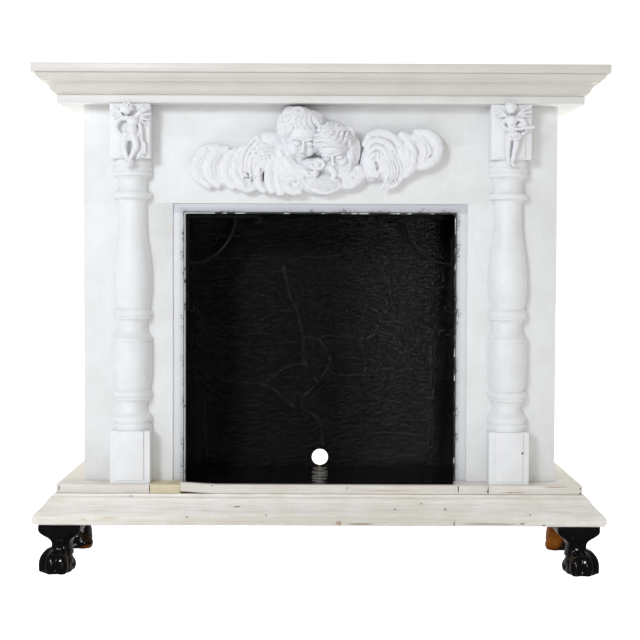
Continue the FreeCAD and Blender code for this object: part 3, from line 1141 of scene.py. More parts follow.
def left_wing() -> Wing:
    """The wing on the left: nested crescents that open to the right."""
    feathers = [
        Feather([(-186, 754), (-206, 748), (-219, 728), (-218, 706), (-200, 689)],
                [9, 12, 13, 13, 10], 10, 0.85),
        Feather([(-170, 752), (-186, 744), (-197, 724), (-195, 704), (-184, 690)],
                [8, 13, 16, 15, 9], 11, 0.72),
        Feather([(-152, 748), (-162, 738), (-168, 720), (-166, 702), (-158, 687)],
                [7, 10, 12.5, 12, 9], 14, 0.78),
        Feather([(-138, 754), (-146, 742), (-152, 722), (-150, 704), (-138, 686)],
                [6, 8, 8.5, 8.5, 9], 18, 0.85),
        Feather([(-112, 774), (-128, 758), (-139, 738), (-141, 716), (-138, 702)],
                [3.6, 4.4, 4.6, 4.2, 3.4], 22, 0.9),
        Feather([(-108, 768), (-122, 753), (-132, 735), (-134, 716), (-131, 704)],
                [3.4, 4.0, 4.2, 4.0, 3.2], 23.5, 0.9),
        Feather([(-106, 759), (-117, 748), (-125, 732), (-127, 716), (-124, 704)],
                [3.4, 4.0, 4.2, 4.0, 3.2], 24, 0.9),
        Feather([(-148, 690), (-130, 682), (-114, 687)], [9, 10, 8], 15, 0.85),
        Feather([(-94, 732), (-106, 720), (-112, 702), (-108, 686), (-101, 678)],
                [6, 8, 8.5, 7.5, 6], 22, 0.85),
        Feather([(-84, 738), (-90, 720), (-91, 700), (-86, 680)], [7, 8.5, 9.5, 9], 23, 0.8),
        Feather([(-70, 745), (-76, 722), (-76, 700), (-70, 677)], [9, 10, 10, 10], 22, 0.8),
    ]
    lumps = [
        (-196, 720, 3, 32, 33, 15),
        (-160, 716, 4, 36, 34, 19),
        (-124, 730, 8, 26, 32, 20),
        (-104, 744, 16, 26, 24, 16),
        (-92, 768, 12, 24, 17, 14),
        (-66, 722, 12, 26, 44, 20),
        (-78, 690, 12, 28, 19, 17),
        (-128, 694, 6, 30, 16, 14),
    ]
    grooves = [
        ([(-198, 754), (-214, 742), (-222, 724), (-220, 704)], 3.0, 1.2),
        ([(-176, 750), (-190, 738), (-197, 722), (-192, 702)], 4.0, 0.9),
        ([(-170, 744), (-180, 730), (-182, 714), (-176, 696)], 3.0, -1.6),
        ([(-154, 744), (-159, 730), (-160, 712)], 2.0, -0.8),
        ([(-122, 692), (-119, 702), (-113, 698)], 3.6, -4.5),
        ([(-106, 720), (-103, 706), (-102, 692)], 4.4, -2.6),
        ([(-97, 718), (-98, 700), (-95, 684)], 2.0, 1.2),
        ([(-66, 752), (-64, 740), (-66, 730)], 5.0, -3.0),
        ([(-70, 703), (-60, 702), (-54, 703)], 1.6, -1.4),
        ([(-118, 774), (-133, 756), (-143, 734), (-144, 706)], 1.9, -1.3),
        ([(-111, 772), (-126, 755), (-136, 735), (-137, 704)], 1.7, -1.3),
        ([(-106, 764), (-119, 751), (-129, 733), (-130, 703)], 1.7, -1.2),
        ([(-102, 756), (-112, 746), (-121, 730), (-121, 706)], 1.7, -1.5),
        ([(-133, 704), (-136, 712)], 1.8, -3.4),
        ([(-127, 702), (-130, 710)], 1.8, -3.2),
    ]
    for row in range(4):
        for column in range(4):
            x = -114 + column * 7.6 + row * 1.5
            z = 752 - row * 6.5 + column * 1.2
            scale_line = [(x - 3.6, z + 1.5), (x - 1, z - 2.5), (x + 3.2, z - 0.5)]
            grooves.append((scale_line, 1.8, -1.5))
    return Wing("cherub_wing_left", feathers, lumps, grooves)


def right_wing() -> Wing:
    """The wing on the right: a ringed covert, narrow flight feathers and three outer lobes."""
    feathers = [
        Feather([(172, 782), (192, 778), (206, 763), (206, 743), (194, 728), (178, 720)],
                [8, 11, 12, 12, 10, 7], 19, 1.0),
        Feather([(166, 774), (182, 766), (190, 750), (186, 734), (176, 726)],
                [7, 8, 9, 8, 6], 21, 0.85),
        Feather([(146, 778), (158, 766), (164, 744), (162, 722), (152, 708)],
                [8, 10, 11.5, 11.5, 8], 19, 0.9),
        Feather([(80, 762), (90, 776), (108, 781), (128, 773), (143, 754), (149, 730), (145, 706),
                 (132, 688)], [7, 8.5, 9, 9, 8.5, 8, 7, 5], 18, 0.85),
        Feather([(82, 752), (90, 764), (104, 768), (120, 761), (131, 748)],
                [6, 7, 7, 6.5, 5], 22, 0.85),
        Feather([(86, 744), (93, 752), (104, 755), (113, 750), (118, 738)],
                [4.5, 4.5, 4.5, 4.5, 4], 25, 0.85),
        Feather([(90, 738), (98, 744), (106, 741)], [4.5, 4.5, 4.5], 26, 0.85),
    ]
    between = []
    for number in range(5):
        shift = number * 5.6
        feathers.append(Feather(
            [(113 + shift, 738 + number * 1.6), (121 + shift, 718), (118 + shift, 698 + number),
             (108 + shift * 0.9, 682 + number * 0.4)],
            [3.6, 3.5, 3.3, 2.4], 23 - number * 0.8, 0.9))
        between.append(([(116 + shift, 736 + number), (124 + shift, 718), (121 + shift, 698 + number),
                         (111 + shift * 0.9, 684)], 1.6, -1.5))
    for number in range(4):
        shift = number * 6.2
        feathers.append(Feather([(80 + shift, 742), (79 + shift, 724), (83 + shift, 704)],
                                [4.2, 4.2, 3.8], 21, 0.85))
    lumps = [
        (112, 738, 8, 38, 40, 20),
        (128, 712, 8, 20, 30, 19),
        (90, 728, 10, 20, 34, 17),
        (156, 744, 8, 26, 32, 18),
        (182, 752, 9, 24, 32, 17),
    ]
    grooves = [
        ([(170, 774), (185, 760), (190, 744), (180, 728)], 3.0, -1.6),
        ([(178, 778), (196, 764), (198, 746), (186, 728)], 2.4, -0.9),
        ([(160, 770), (173, 752), (173, 736), (168, 718)], 2.6, -1.8),
        ([(151, 764), (158, 748), (158, 730), (153, 714)], 2.6, -1.6),
        ([(97, 731), (101, 722), (101, 712)], 3.6, -4.5),
        ([(102, 752), (106, 742), (104, 734)], 1.8, -1.4),
        ([(97, 748), (99, 740), (97, 732)], 1.6, -1.2),
        ([(86, 770), (106, 772), (124, 766), (138, 752)], 1.8, -0.7),
        ([(76, 752), (86, 771), (106, 774), (126, 766), (139, 750)], 1.8, -0.9),
        ([(84, 746), (92, 759), (105, 761), (117, 755), (125, 744)], 1.7, -0.9),
        ([(88, 741), (97, 749), (108, 748), (114, 739)], 1.6, -1.0),
        ([(178, 772), (196, 758), (198, 744), (186, 730)], 2.0, -1.0),
        ([(132, 692), (127, 702)], 1.8, -2.4),
        ([(128, 749), (130, 748)], 1.8, -3.0),
        ([(139.5, 756), (141, 755)], 1.8, -3.0),
    ]
    return Wing("cherub_wing_right", feathers, lumps, grooves + between)


def breast_and_drapery() -> Wing:
    """What joins the heads below: shoulder, drape, rosette, falling hair, a bundle of feathers."""
    feathers = [
        Feather([(-60, 730), (-48, 716), (-32, 714)], [12, 14, 12], 24, 0.8),
        Feather([(-62, 706), (-46, 700), (-32, 704)], [7, 8, 8], 26, 0.8),
        Feather([(-68, 690), (-54, 680), (-40, 677)], [9, 10, 9], 22, 0.8),
        Feather([(36, 690), (56, 694), (72, 708)], [10, 13, 11], 19, 0.55),
        Feather([(34, 706), (52, 706), (70, 716)], [8, 10, 8], 22, 0.6),
        Feather([(45, 788), (54, 785), (57, 772)], [5, 6, 4], 27, 0.8),
        Feather([(-30, 712), (-20, 706), (-8, 708)], [6, 7, 6], 30, 0.8),
    ]
    strands = []
    for number in range(7):
        share = number / 6.0
        path = [(-30 + 14 * share, 704 + 2 * share), (-22 + 12 * share, 686 + 10 * share),
                (0 + 8 * share, 675 + 18 * share), (22 + 4 * share, 677 + 17 * share),
                (39 - 7 * share, 686 + 13 * share)]
        feathers.append(Feather(path, [4.2, 4.8, 4.6, 3.8, 1.8], 23 + 7 * share, 0.85))
        strands.append(([(x + 1.0, z + 2.6) for x, z in path], 1.7, -1.9))
    for number in range(4):
        feathers.append(Feather([(49 + 4.2 * number, 780 - 3 * number), (54 + 4.4 * number, 762),
                                 (55 + 4.0 * number, 738), (50 + 3.0 * number, 714 + 2 * number)],
                                [3.0, 3.8, 3.6, 2.4], 31 - 4.5 * number, 0.85))
        strands.append(([(47 + 4.3 * number, 778 - 3 * number), (51.6 + 4.4 * number, 762),
                         (52.8 + 4.0 * number, 738), (48 + 3.0 * number, 716)], 1.6, -1.6))
    roll = [(-4 + (13.5 - 1.5 * a) * math.cos(a + 3.4), 725 + (10.6 - 1.2 * a) * math.sin(a + 3.4))
            for a in np.linspace(0.0, 2.6 * math.pi, 19)]
    feathers.append(Feather(roll, [3.0, 3.2, 3.4, 3.0], 34, 1.0))
    feathers.append(Feather([(8, 722), (18, 717), (25, 707), (20, 698)], [5, 6, 6, 4.5], 26, 0.8))
    lumps = [
        (-42, 702, 10, 34, 30, 21),
        (0, 690, 8, 40, 21, 23),
        (-5, 726, 20, 13, 11, 15),
        (48, 704, 8, 36, 28, 17),
        (54, 748, 8, 17, 38, 20),
        (-22, 720, 10, 28, 18, 18),
        (18, 722, 9, 28, 16, 17),
    ]
    grooves = [
        ([(-55, 693), (-48, 690), (-41, 695)], 5.0, -4.6),
        ([(-72, 703), (-60, 702), (-50, 704)], 1.6, -1.4),
        ([(-22, 710), (-17, 707)], 2.4, -2.6),
        ([(-8, 707), (-2, 706)], 2.4, -2.6),
        ([(-40, 684), (-34, 690), (-33, 700)], 2.0, -1.6),
    ]
    for number in range(6):
        x = 36 + number * 6.5
        grooves.append(([(x, 716 + number), (x + 2.5, 702 + number), (x + 1.0, 688 + number * 1.6)],
                        1.8, -0.5))
    return Wing("cherub_drapery", feathers, lumps, grooves + strands)


@dataclass
class CherubOrnament:
    """The cast ornament on the frieze: two cherub heads between spread wings."""

    # hollow and deep are painted shade in the ornament's recesses.
    paint: Finish = PaintedPlaster("chalky_white_cast_plaster", body="e9eaed", hollow_shade="c9c9c3",
                                   deep="858172")

    def heads(self) -> list[CherubHead]:
        """The two heads: curls on the left one, brushed waves on the right one that looks down."""
        left_curls = ((-84, -14, 12.0, -1), (-92, 12, 12.5, 1), (-80, -38, 10.0, 1),
                      (-66, 36, 12.5, -1), (-50, 8, 11.0, 1), (-40, 62, 12.5, 1), (-96, 44, 11.0, -1))
        fringe = (((-8, 84, 1), (-28, 58, 2), (-38, 36, 3), (-24, 17, 1)),
                  ((0, 84, 1), (-12, 58, 2), (-20, 34, 3), (-4, 18, 1)),
                  ((8, 84, 1), (0, 58, 2), (-4, 34, 3), (12, 19, 1)),
                  ((16, 84, 1), (13, 58, 2), (12, 36, 3), (27, 22, 1)),
                  ((24, 82, 1), (26, 60, 2), (28, 40, 3), (40, 27, 1)))
        swept = tuple(tuple((turn + spread, height, 2.0 + rise) for turn, height, rise in
                            ((22, 66, 0), (38, 40, 2), (56, 10, 3), (60, -18, 0)))
                      for spread in (-4, 9, 22, 35))
        waves = tuple(tuple((turn, level + 7.0 * math.sin(math.radians(turn * 4.0 + level * 5.0)),
                             1.4 + 1.2 * math.cos(math.radians(turn * 4.0)))
                            for turn in range(-84, 85, 14))
                      for level in range(22, 90, 12))
        falls = tuple(tuple((side * (62 + step * 10 + 4.0 * (number % 2)), 18 - number * 12, 1.8)
                            for number in range(6)) for step in range(3) for side in (-1, 1))
        nape = ((84, -38, 8.0, 1), (92, -16, 9.0, -1), (-80, -26, 8.0, 1))
        return [
            CherubHead("cherub_head_left", (-35.5, WALL - 10.0, 777.5), (30, 3, 12), 1.08,
                       left_curls, fringe + swept),
            CherubHead("cherub_head_right", (23.0, WALL - 12.0, 757.5), (46, -6, -12), 1.0,
                       nape, waves + falls, Grain.ACROSS, 0.8, 0.0),
        ]

    def build(self) -> None:
        """Model the heads, wings and drapery."""
        for head in self.heads():
            head.build(self.paint)
        left_wing().build(self.paint)
        right_wing().build(self.paint)
        breast_and_drapery().build(self.paint)


@dataclass
class Figure:
    """A small winged child on a capital, pressed from balls and ropes of clay.

    Attributes:
        side: "left" or "right".
        column_x: Middle of its column in millimetres.
        back: Where its back lies along y in millimetres.
        balls: Lumps as (x, z, lift, half width, half height, half thickness, turn about y).
        ropes: Limbs and folds as (path of (x, z, lift), radii).
        grooves: Carved lines as (path, half width, lift).
        plump: Factor on the thickness of balls and limbs.
    """

    side: str
    column_x: float
    back: float
    balls: list[tuple[float, ...]]
    ropes: list[tuple[list[Point], list[float]]]
    grooves: list[tuple[list[Spot], float, float]]
    plump: float = 1.1

    def build(self, paint: Finish) -> None:
        """Model the figure and paint it.

        Args:
            paint: The figure's paint.
        """
        clay = Clay("putto_figure_" + self.side)
        for x, z, lift, wide, high, thick, turn in self.balls:
            clay.ball((self.column_x + x, self.back - lift, z),
                      (wide * self.plump, thick * self.plump, high * self.plump), (0, turn, 0))
        for path, radii in self.ropes:
            clay.rope([(self.column_x + x, self.back - lift, z) for x, z, lift in path],
                      [radius * self.plump for radius in radii])
        piece = clay.weld(0.75, 1)
        for path, width, lift in self.grooves:
            carve(piece, [(self.column_x + x, z) for x, z in path], width, lift)
        press_on_wall(piece, self.back)
        find_hollows(piece, gain=2.6)
        paint.dress(piece)
        seat(piece, ["putto_" + self.side], angle=180.0)


def curled_hair(middle: Point, radius: float, count: int) -> list[tuple[float, ...]]:
    """Small balls of hair spread over the top and sides of a small head.

    Args:
        middle: The head's middle as (x, z, lift).
        radius: The head's radius in millimetres.
        count: How many balls.

    Returns:
        Balls for a Figure.
    """
    balls = []
    radius *= 1.2
    for number in range(count):
        turn = number * 2.4
        height = 0.95 - 1.15 * number / count
        out = math.sqrt(max(1.0 - height * height, 0.0))
        x = middle[0] + radius * out * math.cos(turn)
        lift = middle[2] + radius * out * math.sin(turn) * 0.8
        z = middle[1] + radius * height
        balls.append((x, z, max(lift, 1.0), 2.5, 2.3, 2.3, 0.0))
    return balls


def feathered(root: Point, tips: list[Spot]) -> list[tuple[list[Point], list[float]]]:
    """A small wing of separate feathers.

    Args:
        root: Where the feathers start as (x, z, lift).
        tips: Where each one ends as (x, z).

    Returns:
        Ropes for a Figure.
    """
    ropes = []
    for number, (x, z) in enumerate(tips):
        lift = root[2] - 1.2 * number
        middle = ((root[0] + x) / 2, (root[1] + z) / 2 + 1.6, lift - 0.5)
        ropes.append(([(root[0], root[1], lift), middle, (x, z, lift - 3.0)], [1.6, 2.4, 1.3]))
    return ropes


def left_figure(column_x: float, back: float) -> Figure:
    """The child on the left: head thrown back, one arm up, a drape down one side."""
    balls = [
        (-4, 819, 8, 8.6, 9.2, 8.4, -18),
        (-8, 815, 13, 3.4, 3.2, 3.0, 0),
        (7, 797, 8, 9.6, 9.4, 8.5, 10),
        (6, 783, 9, 8.8, 9.5, 9.0, 0),
        (1, 770, 6, 10.5, 7.5, 8.0, 0),
        (-0.5, 725, 6, 8.8, 8.2, 7.5, 0),
        (-20, 813, 2, 7.5, 5.0, 2.6, 40),
        (25, 810, 2, 8.5, 7.0, 2.6, -45),
        (17, 752, 2, 11.0, 17.0, 4.2, 0),
    ] + curled_hair((-3, 820, 8), 8.6, 22)
    ropes = [
        ([(-3, 803, 8), (-15, 801, 8), (-22.5, 787, 9), (-14, 774, 10), (-6, 772, 11)],
         [4.2, 4.0, 3.8, 3.2, 2.6]),
        ([(12, 804, 8), (19, 812, 8), (27, 821, 7)], [4.0, 3.4, 2.8]),
        ([(-5, 774, 9), (-8, 757, 11), (-7, 746, 9), (-3, 731, 8)], [6.2, 5.6, 4.2, 3.2]),
        ([(7, 773, 9), (14, 755, 12), (9, 744, 10), (2, 730, 8)], [6.6, 5.8, 4.4, 3.2]),
        ([(16, 803, 4), (20, 786, 5), (21, 766, 5), (22, 748, 4), (15, 734, 4)],
         [3.0, 3.6, 3.6, 3.6, 2.6]),
        ([(12, 780, 7), (19, 772, 7), (24, 756, 5), (24, 742, 4)], [2.6, 2.8, 2.8, 2.2]),
        ([(-6, 768, 12), (2, 765, 14), (12, 768, 12), (19, 774, 8)], [2.2, 2.6, 2.6, 2.2]),
        ([(-13, 741, 2), (0, 737, 3), (15, 739, 3), (25, 736, 2)], [2.0, 2.4, 2.4, 1.8]),
        ([(-8, 728, 10), (-4, 724, 13), (2, 722, 13)], [2.8, 3.2, 2.4]),
        ([(12, 774, 6), (14, 758, 7), (10, 740, 6)], [2.0, 2.6, 1.8]),
        ([(16, 776, 5), (27, 758, 5), (28, 742, 4)], [1.8, 2.4, 1.6]),
        ([(-16, 812, 6), (-12, 818, 8), (-10, 825, 7)], [2.2, 2.6, 2.0]),
    ] + feathered((-11, 806, 7), [(-30, 826), (-33, 818), (-31, 810), (-27, 803)]) \
        + feathered((13, 803, 7), [(37, 822), (38, 811), (35, 800), (30, 791), (24, 784)])
    grooves = [
        ([(0, 763), (1, 752), (0, 742)], 1.8, -2.2),
        ([(6, 808), (6, 800)], 1.6, -0.8),
        ([(1, 789), (8, 787), (14, 790)], 1.5, -0.7),
        ([(-26, 814), (-20, 809), (-15, 808)], 1.3, -0.9),
        ([(22, 816), (28, 808), (30, 799)], 1.3, -0.9),
        ([(27, 818), (32, 810), (34, 802)], 1.3, -0.8),
        ([(18, 790), (20, 770), (20, 750)], 1.3, -0.9),
    ]
    return Figure("left", column_x, back, balls, ropes, grooves)


def right_figure(column_x: float, back: float) -> Figure:
    """The child on the right: facing front, playing a pipe, in a short kilt."""
    balls = [
        (-3.3, 822, 8, 8.2, 8.6, 8.4, 0),
        (-2, 800, 8, 9.2, 9.0, 8.2, 0),
        (-1, 787, 8, 8.4, 9.0, 8.4, 0),
        (1.5, 775, 7, 13.0, 7.0, 8.0, 0),
        (-19, 815, 2, 8.0, 4.0, 2.4, 25),
        (18, 815, 2, 8.5, 4.5, 2.4, -32),
        (17, 793, 9, 8.5, 5.0, 4.0, -10),
    ] + curled_hair((-3.3, 823, 7), 8.0, 24)
    ropes = [
        ([(5, 804, 8), (17, 801, 9), (22, 793, 11), (14, 786, 14)], [3.8, 3.6, 3.2, 2.6]),
        ([(-9, 804, 8), (-18, 795, 9), (-13, 786, 12), (0, 784, 15)], [3.8, 3.6, 3.2, 2.6]),
        ([(-7, 783, 16), (12, 786, 16), (35, 789, 14)], [2.0, 2.1, 2.6]),
        ([(-6, 772, 8), (-8, 757, 9), (-8, 744, 7), (-6, 727, 6)], [5.4, 4.6, 3.8, 2.8]),
        ([(6, 772, 8), (6, 757, 9), (3, 744, 7), (0, 724, 6)], [5.6, 4.8, 3.8, 2.8]),
        ([(-11, 772, 10), (-2, 768, 14), (8, 768, 14), (15, 773, 9)], [2.0, 2.2, 2.2, 1.8]),
        ([(12, 775, 4), (22, 781, 4), (26, 792, 3)], [2.6, 2.6, 2.0]),
        ([(-5, 727, 9), (-8, 722, 12)], [2.8, 2.2]),
        ([(0, 725, 9), (3, 721, 12)], [2.8, 2.2]),
    ] + feathered((-9, 808, 7), [(-31, 822), (-32, 814), (-28, 807)]) \
        + feathered((6, 808, 7), [(30, 826), (34, 817), (32, 808), (26, 801)])
    grooves = [
        ([(-1, 764), (-2, 750), (-4, 736)], 1.8, -2.4),
        ([(-9, 779), (-8, 771)], 1.3, -1.0),
        ([(-4, 779), (-3, 770)], 1.3, -1.0),
        ([(2, 779), (3, 770)], 1.3, -1.0),
        ([(8, 779), (9, 771)], 1.3, -1.0),
        ([(-2, 796), (-2, 789)], 1.3, -0.8),
        ([(-27, 816), (-20, 813), (-14, 813)], 1.3, -0.9),
        ([(12, 820), (20, 815), (27, 808)], 1.3, -0.9),
        ([(16, 822), (24, 817), (30, 812)], 1.3, -0.8),
    ]
    return Figure("right", column_x, back, balls, ropes, grooves)


@dataclass
class ClawFeet:
    """Four turned-out lion's paws under square ogee tops, carved once and copied to each corner.

    Attributes:
        reach_x: Distance of each foot's middle from the object's middle in millimetres.
        front_y: Middle of the front feet along y in millimetres.
        rear_y: Middle of the rear feet along y in millimetres.
        height: Height of a foot in millimetres.
        half_top: Half width of the square top in millimetres.
    """

    reach_x: float = 457.0
    front_y: float = -92.5
    rear_y: float = 75.0
    height: float = 90.0
    half_top: float = 37.0

    def ogee_top(self) -> Piece:
        """Model the square top, drawn in to the ankle in an ogee, with its corners facing the toes.

        Returns:
            The top, round the origin.
        """
        deselect()
        bpy.ops.mesh.primitive_plane_add(size=2 * self.half_top * MM,
                                         location=(0.0, 0.0, (self.height - 0.3) * MM))
        top = newest("foot_top")
        bpy.ops.object.mode_set(mode="EDIT")
        bpy.ops.mesh.select_all(action="SELECT")
        bpy.ops.mesh.subdivide(number_cuts=5)
        bpy.ops.mesh.extrude_region_move()
        level = self.height - 0.3
        reach = self.half_top
        sections = [(80.0, 37.6), (76.0, 37.0), (71.0, 34.6), (66.0, 30.4), (61.0, 25.4),
                    (56.0, 21.2), (51.0, 18.8), (46.0, 18.4), (40.0, 19.4), (30.0, 21.0)]
        for number, (z, half) in enumerate(sections):
            if number:
                bpy.ops.mesh.extrude_region_move()
            bpy.ops.transform.translate(value=(0.0, 0.0, (z - level) * MM))
            bpy.ops.transform.resize(value=(half / reach, half / reach, 1.0),
                                     center_override=(0.0, 0.0, z * MM))
            level, reach = z, half
        bpy.ops.mesh.select_all(action="SELECT")
        bpy.ops.mesh.normals_make_consistent(inside=False)
        bpy.ops.object.mode_set(mode="OBJECT")
        points = points_of(top)
        drop = smooth_step(78.0, 50.0, points[:, 2])
        angle = np.arctan2(points[:, 1], points[:, 0])
        square = np.maximum(np.abs(np.cos(angle)), np.abs(np.sin(angle)))
        rounding = 1.0 - drop * (1.0 - square) * 0.75
        points[:, :2] *= rounding[:, None]
        turned = points.copy()
        quarter = math.radians(45.0)
        turned[:, 0] = points[:, 0] * math.cos(quarter) - points[:, 1] * math.sin(quarter)
        turned[:, 1] = points[:, 0] * math.sin(quarter) + points[:, 1] * math.cos(quarter)
        lean = smooth_step(80.0, 50.0, points[:, 2])
        turned[:, 1] -= 3.0 * lean
        set_points(top, turned)
        return top

    def paw(self) -> Piece:
        """Carve one foot with its toes towards -y.

        Returns:
            The whole foot, round the origin.
        """
        clay = Clay("claw_foot")
        clay.lumps.append(self.ogee_top())
        clay.ball((0, -2, 37), (18.0, 18.5, 22))
        clay.ball((0, -9, 19), (25, 26, 20))
        clay.ball((0, 8, 10), (17, 15, 16))
        clay.ball((0, -19, 25), (19, 18, 15))
        clay.ball((0, -14, 5), (29, 28, 13))
        for x, y, turn in ((-22, -18, -58), (-9.5, -30, -20), (9.5, -30, 20), (22, -18, 58)):
            out = (math.sin(math.radians(turn)), -math.cos(math.radians(turn)))
            root = (x - out[0] * 15, y - out[1] * 15, 36)
            bend = (x - out[0] * 4, y - out[1] * 4, 29)
            knuckle = (x + out[0] * 1.0, y + out[1] * 1.0, 21.0)
            tip = (x + out[0] * 3.0, y + out[1] * 3.0, 9.5)
            clay.rope([root, bend, knuckle, tip], [8.0, 10.4, 11.4, 11.0])
            clay.ball((x + out[0] * 2.4, y + out[1] * 2.4, 21.0), (8.8, 8.8, 7.6))
            clay.ball((x + out[0] * 4.0, y + out[1] * 4.0, 7.0), (8.8, 8.8, 9.6))
            claw = [(x + out[0] * 8.5, y + out[1] * 8.5, 8.0),
                    (x + out[0] * 12.0, y + out[1] * 12.0, 4.0)]
            clay.rope(claw, [3.4, 2.0])
        foot = clay.weld(1.0, 5)
        points = points_of(foot)
        points[:, 2] = np.clip((points[:, 2] - 0.9) * 1.01, 0.0, self.height - 0.2)
        inward = points[:, 1] > 26.0
        points[inward & (points[:, 2] < 60.0), 1] = 26.0
        set_points(foot, points)
        return foot

    def build(self) -> None:
        """Carve one foot, set a copy at each corner and lacquer them."""
        wood = "7a4417"
        x, front, rear = self.reach_x, self.front_y, self.rear_y
        worn = (
            Mark((-x - 28.0, front - 10.0, 2.0), (10.0, 22.0, 4.5), "8a5626", 1.6, 0.5),
            Mark((-x - 36.0, front, 84.0), (2.0, 40.0, 5.0), "5a3216", 0.8, 0.6, 0.5),
            Mark((-x + 26.0, rear - 22.0, 3.0), (34.0, 24.0, 7.0), "7d4a1e", 2.0, 0.7, 0.85),
            Mark((-x + 34.0, rear - 10.0, 58.0), (14.0, 44.0, 26.0), "4d2913", 2.6, 0.8, 0.8),
            Mark((x - 24.0, rear - 24.0, 48.0), (46.0, 44.0, 62.0), wood, 3.0, 0.3, 0.97),
            Mark((x - 18.0, rear - 24.0, 20.0), (34.0, 24.0, 20.0), "a8691f", 2.0, 0.7, 0.85),
            Mark((0.0, front - 36.5, 88.5), (520.0, 6.0, 2.4), "3a2010", 1.0, 0.7, 0.6),
        )
        lacquer = GlossBlack("black_lacquered_carved_wood", "161517", 0.13, 11.0, 0.40, worn)
        master = self.paw()
        places = {"front_left": (-1, front, -45.0), "front_right": (1, front, 45.0),
                  "rear_right": (1, rear, 135.0), "rear_left": (-1, rear, -135.0)}
        for name, (side, y, turn) in places.items():
            foot = bpy.data.objects.new("carved_foot_" + name, master.data.copy())
            bpy.context.scene.collection.objects.link(foot)
            place_at(foot, (side * x, y, 0.0), (0.0, 0.0, turn))
            lacquer.dress(foot)
            seat(foot, ["claw_foot_" + name], angle=180.0)
        bpy.data.objects.remove(master)


@dataclass(frozen=True)
class CrinkledBlack(Finish):
    """Black sheet glued on while damp: satin, wrinkled all over in short level ripples, with
    raised creases that carry a thin grey painted highlight.

    Attributes:
        name: Material name.
        body: Colour of the sheet.
        crease_highlight: Colour of the grey painted highlight along the creases.
        ripple: Width of a ripple in millimetres.
        roughness: Surface roughness.
    """

    name: str
    body: str
    crease_highlight: str
    ripple: float
    roughness: float

    def lay(self, tree: Tree, shader: Node, place: Socket) -> None:
        """Build the ripples and the grey painted highlight along the raised creases."""
        drawn = add_node(tree, "Mapping",
                         {"Scale": (0.55 / (self.ripple * MM), 1.0 / (self.ripple * MM),
                                    1.3 / (self.ripple * MM))}, {"Vector": place})
        ripples = add_node(tree, "TexNoise", {"Scale": 1.0, "Detail": 3.0, "Roughness": 0.55,
                                              "Distortion": 0.6}, {"Vector": drawn.outputs["Vector"]})
        fine = add_node(tree, "TexNoise", {"Scale": 1.0 / (1.6 * MM), "Detail": 2.0},
                        {"Vector": place})
        height = add_node(tree, "Math", {"operation": "MULTIPLY_ADD", 1: 0.18},
                          {0: fine.outputs["Fac"], 2: ripples.outputs["Fac"]})
        bump = add_node(tree, "Bump", {"Strength": 0.8, "Distance": 3.4 * MM},
                        {"Height": height.outputs[0]})
        # Painted highlight: lighter grey along the raised creases.
        crease_highlight_share = add_node(tree, "Attribute", {"attribute_name": "crease_highlight_share"})
        colour = add_node(tree, "Mix", {"data_type": "RGBA", 6: srgb(self.body),
                                        7: srgb(self.crease_highlight)}, {0: crease_highlight_share.outputs["Fac"]})
        tree.links.new(colour.outputs[2], shader.inputs["Base Color"])
        tree.links.new(bump.outputs["Normal"], shader.inputs["Normal"])
        shader.inputs["Roughness"].default_value = self.roughness
        split = add_node(tree, "SeparateXYZ", links={0: place})
        gleam = add_node(tree, "MapRange", {"From Min": 30.0 * MM, "From Max": 150.0 * MM,
                                            "To Min": 0.13, "To Max": 0.32},
                         {"Value": split.outputs["X"]})
        tree.links.new(gleam.outputs["Result"], shader.inputs["Specular IOR Level"])


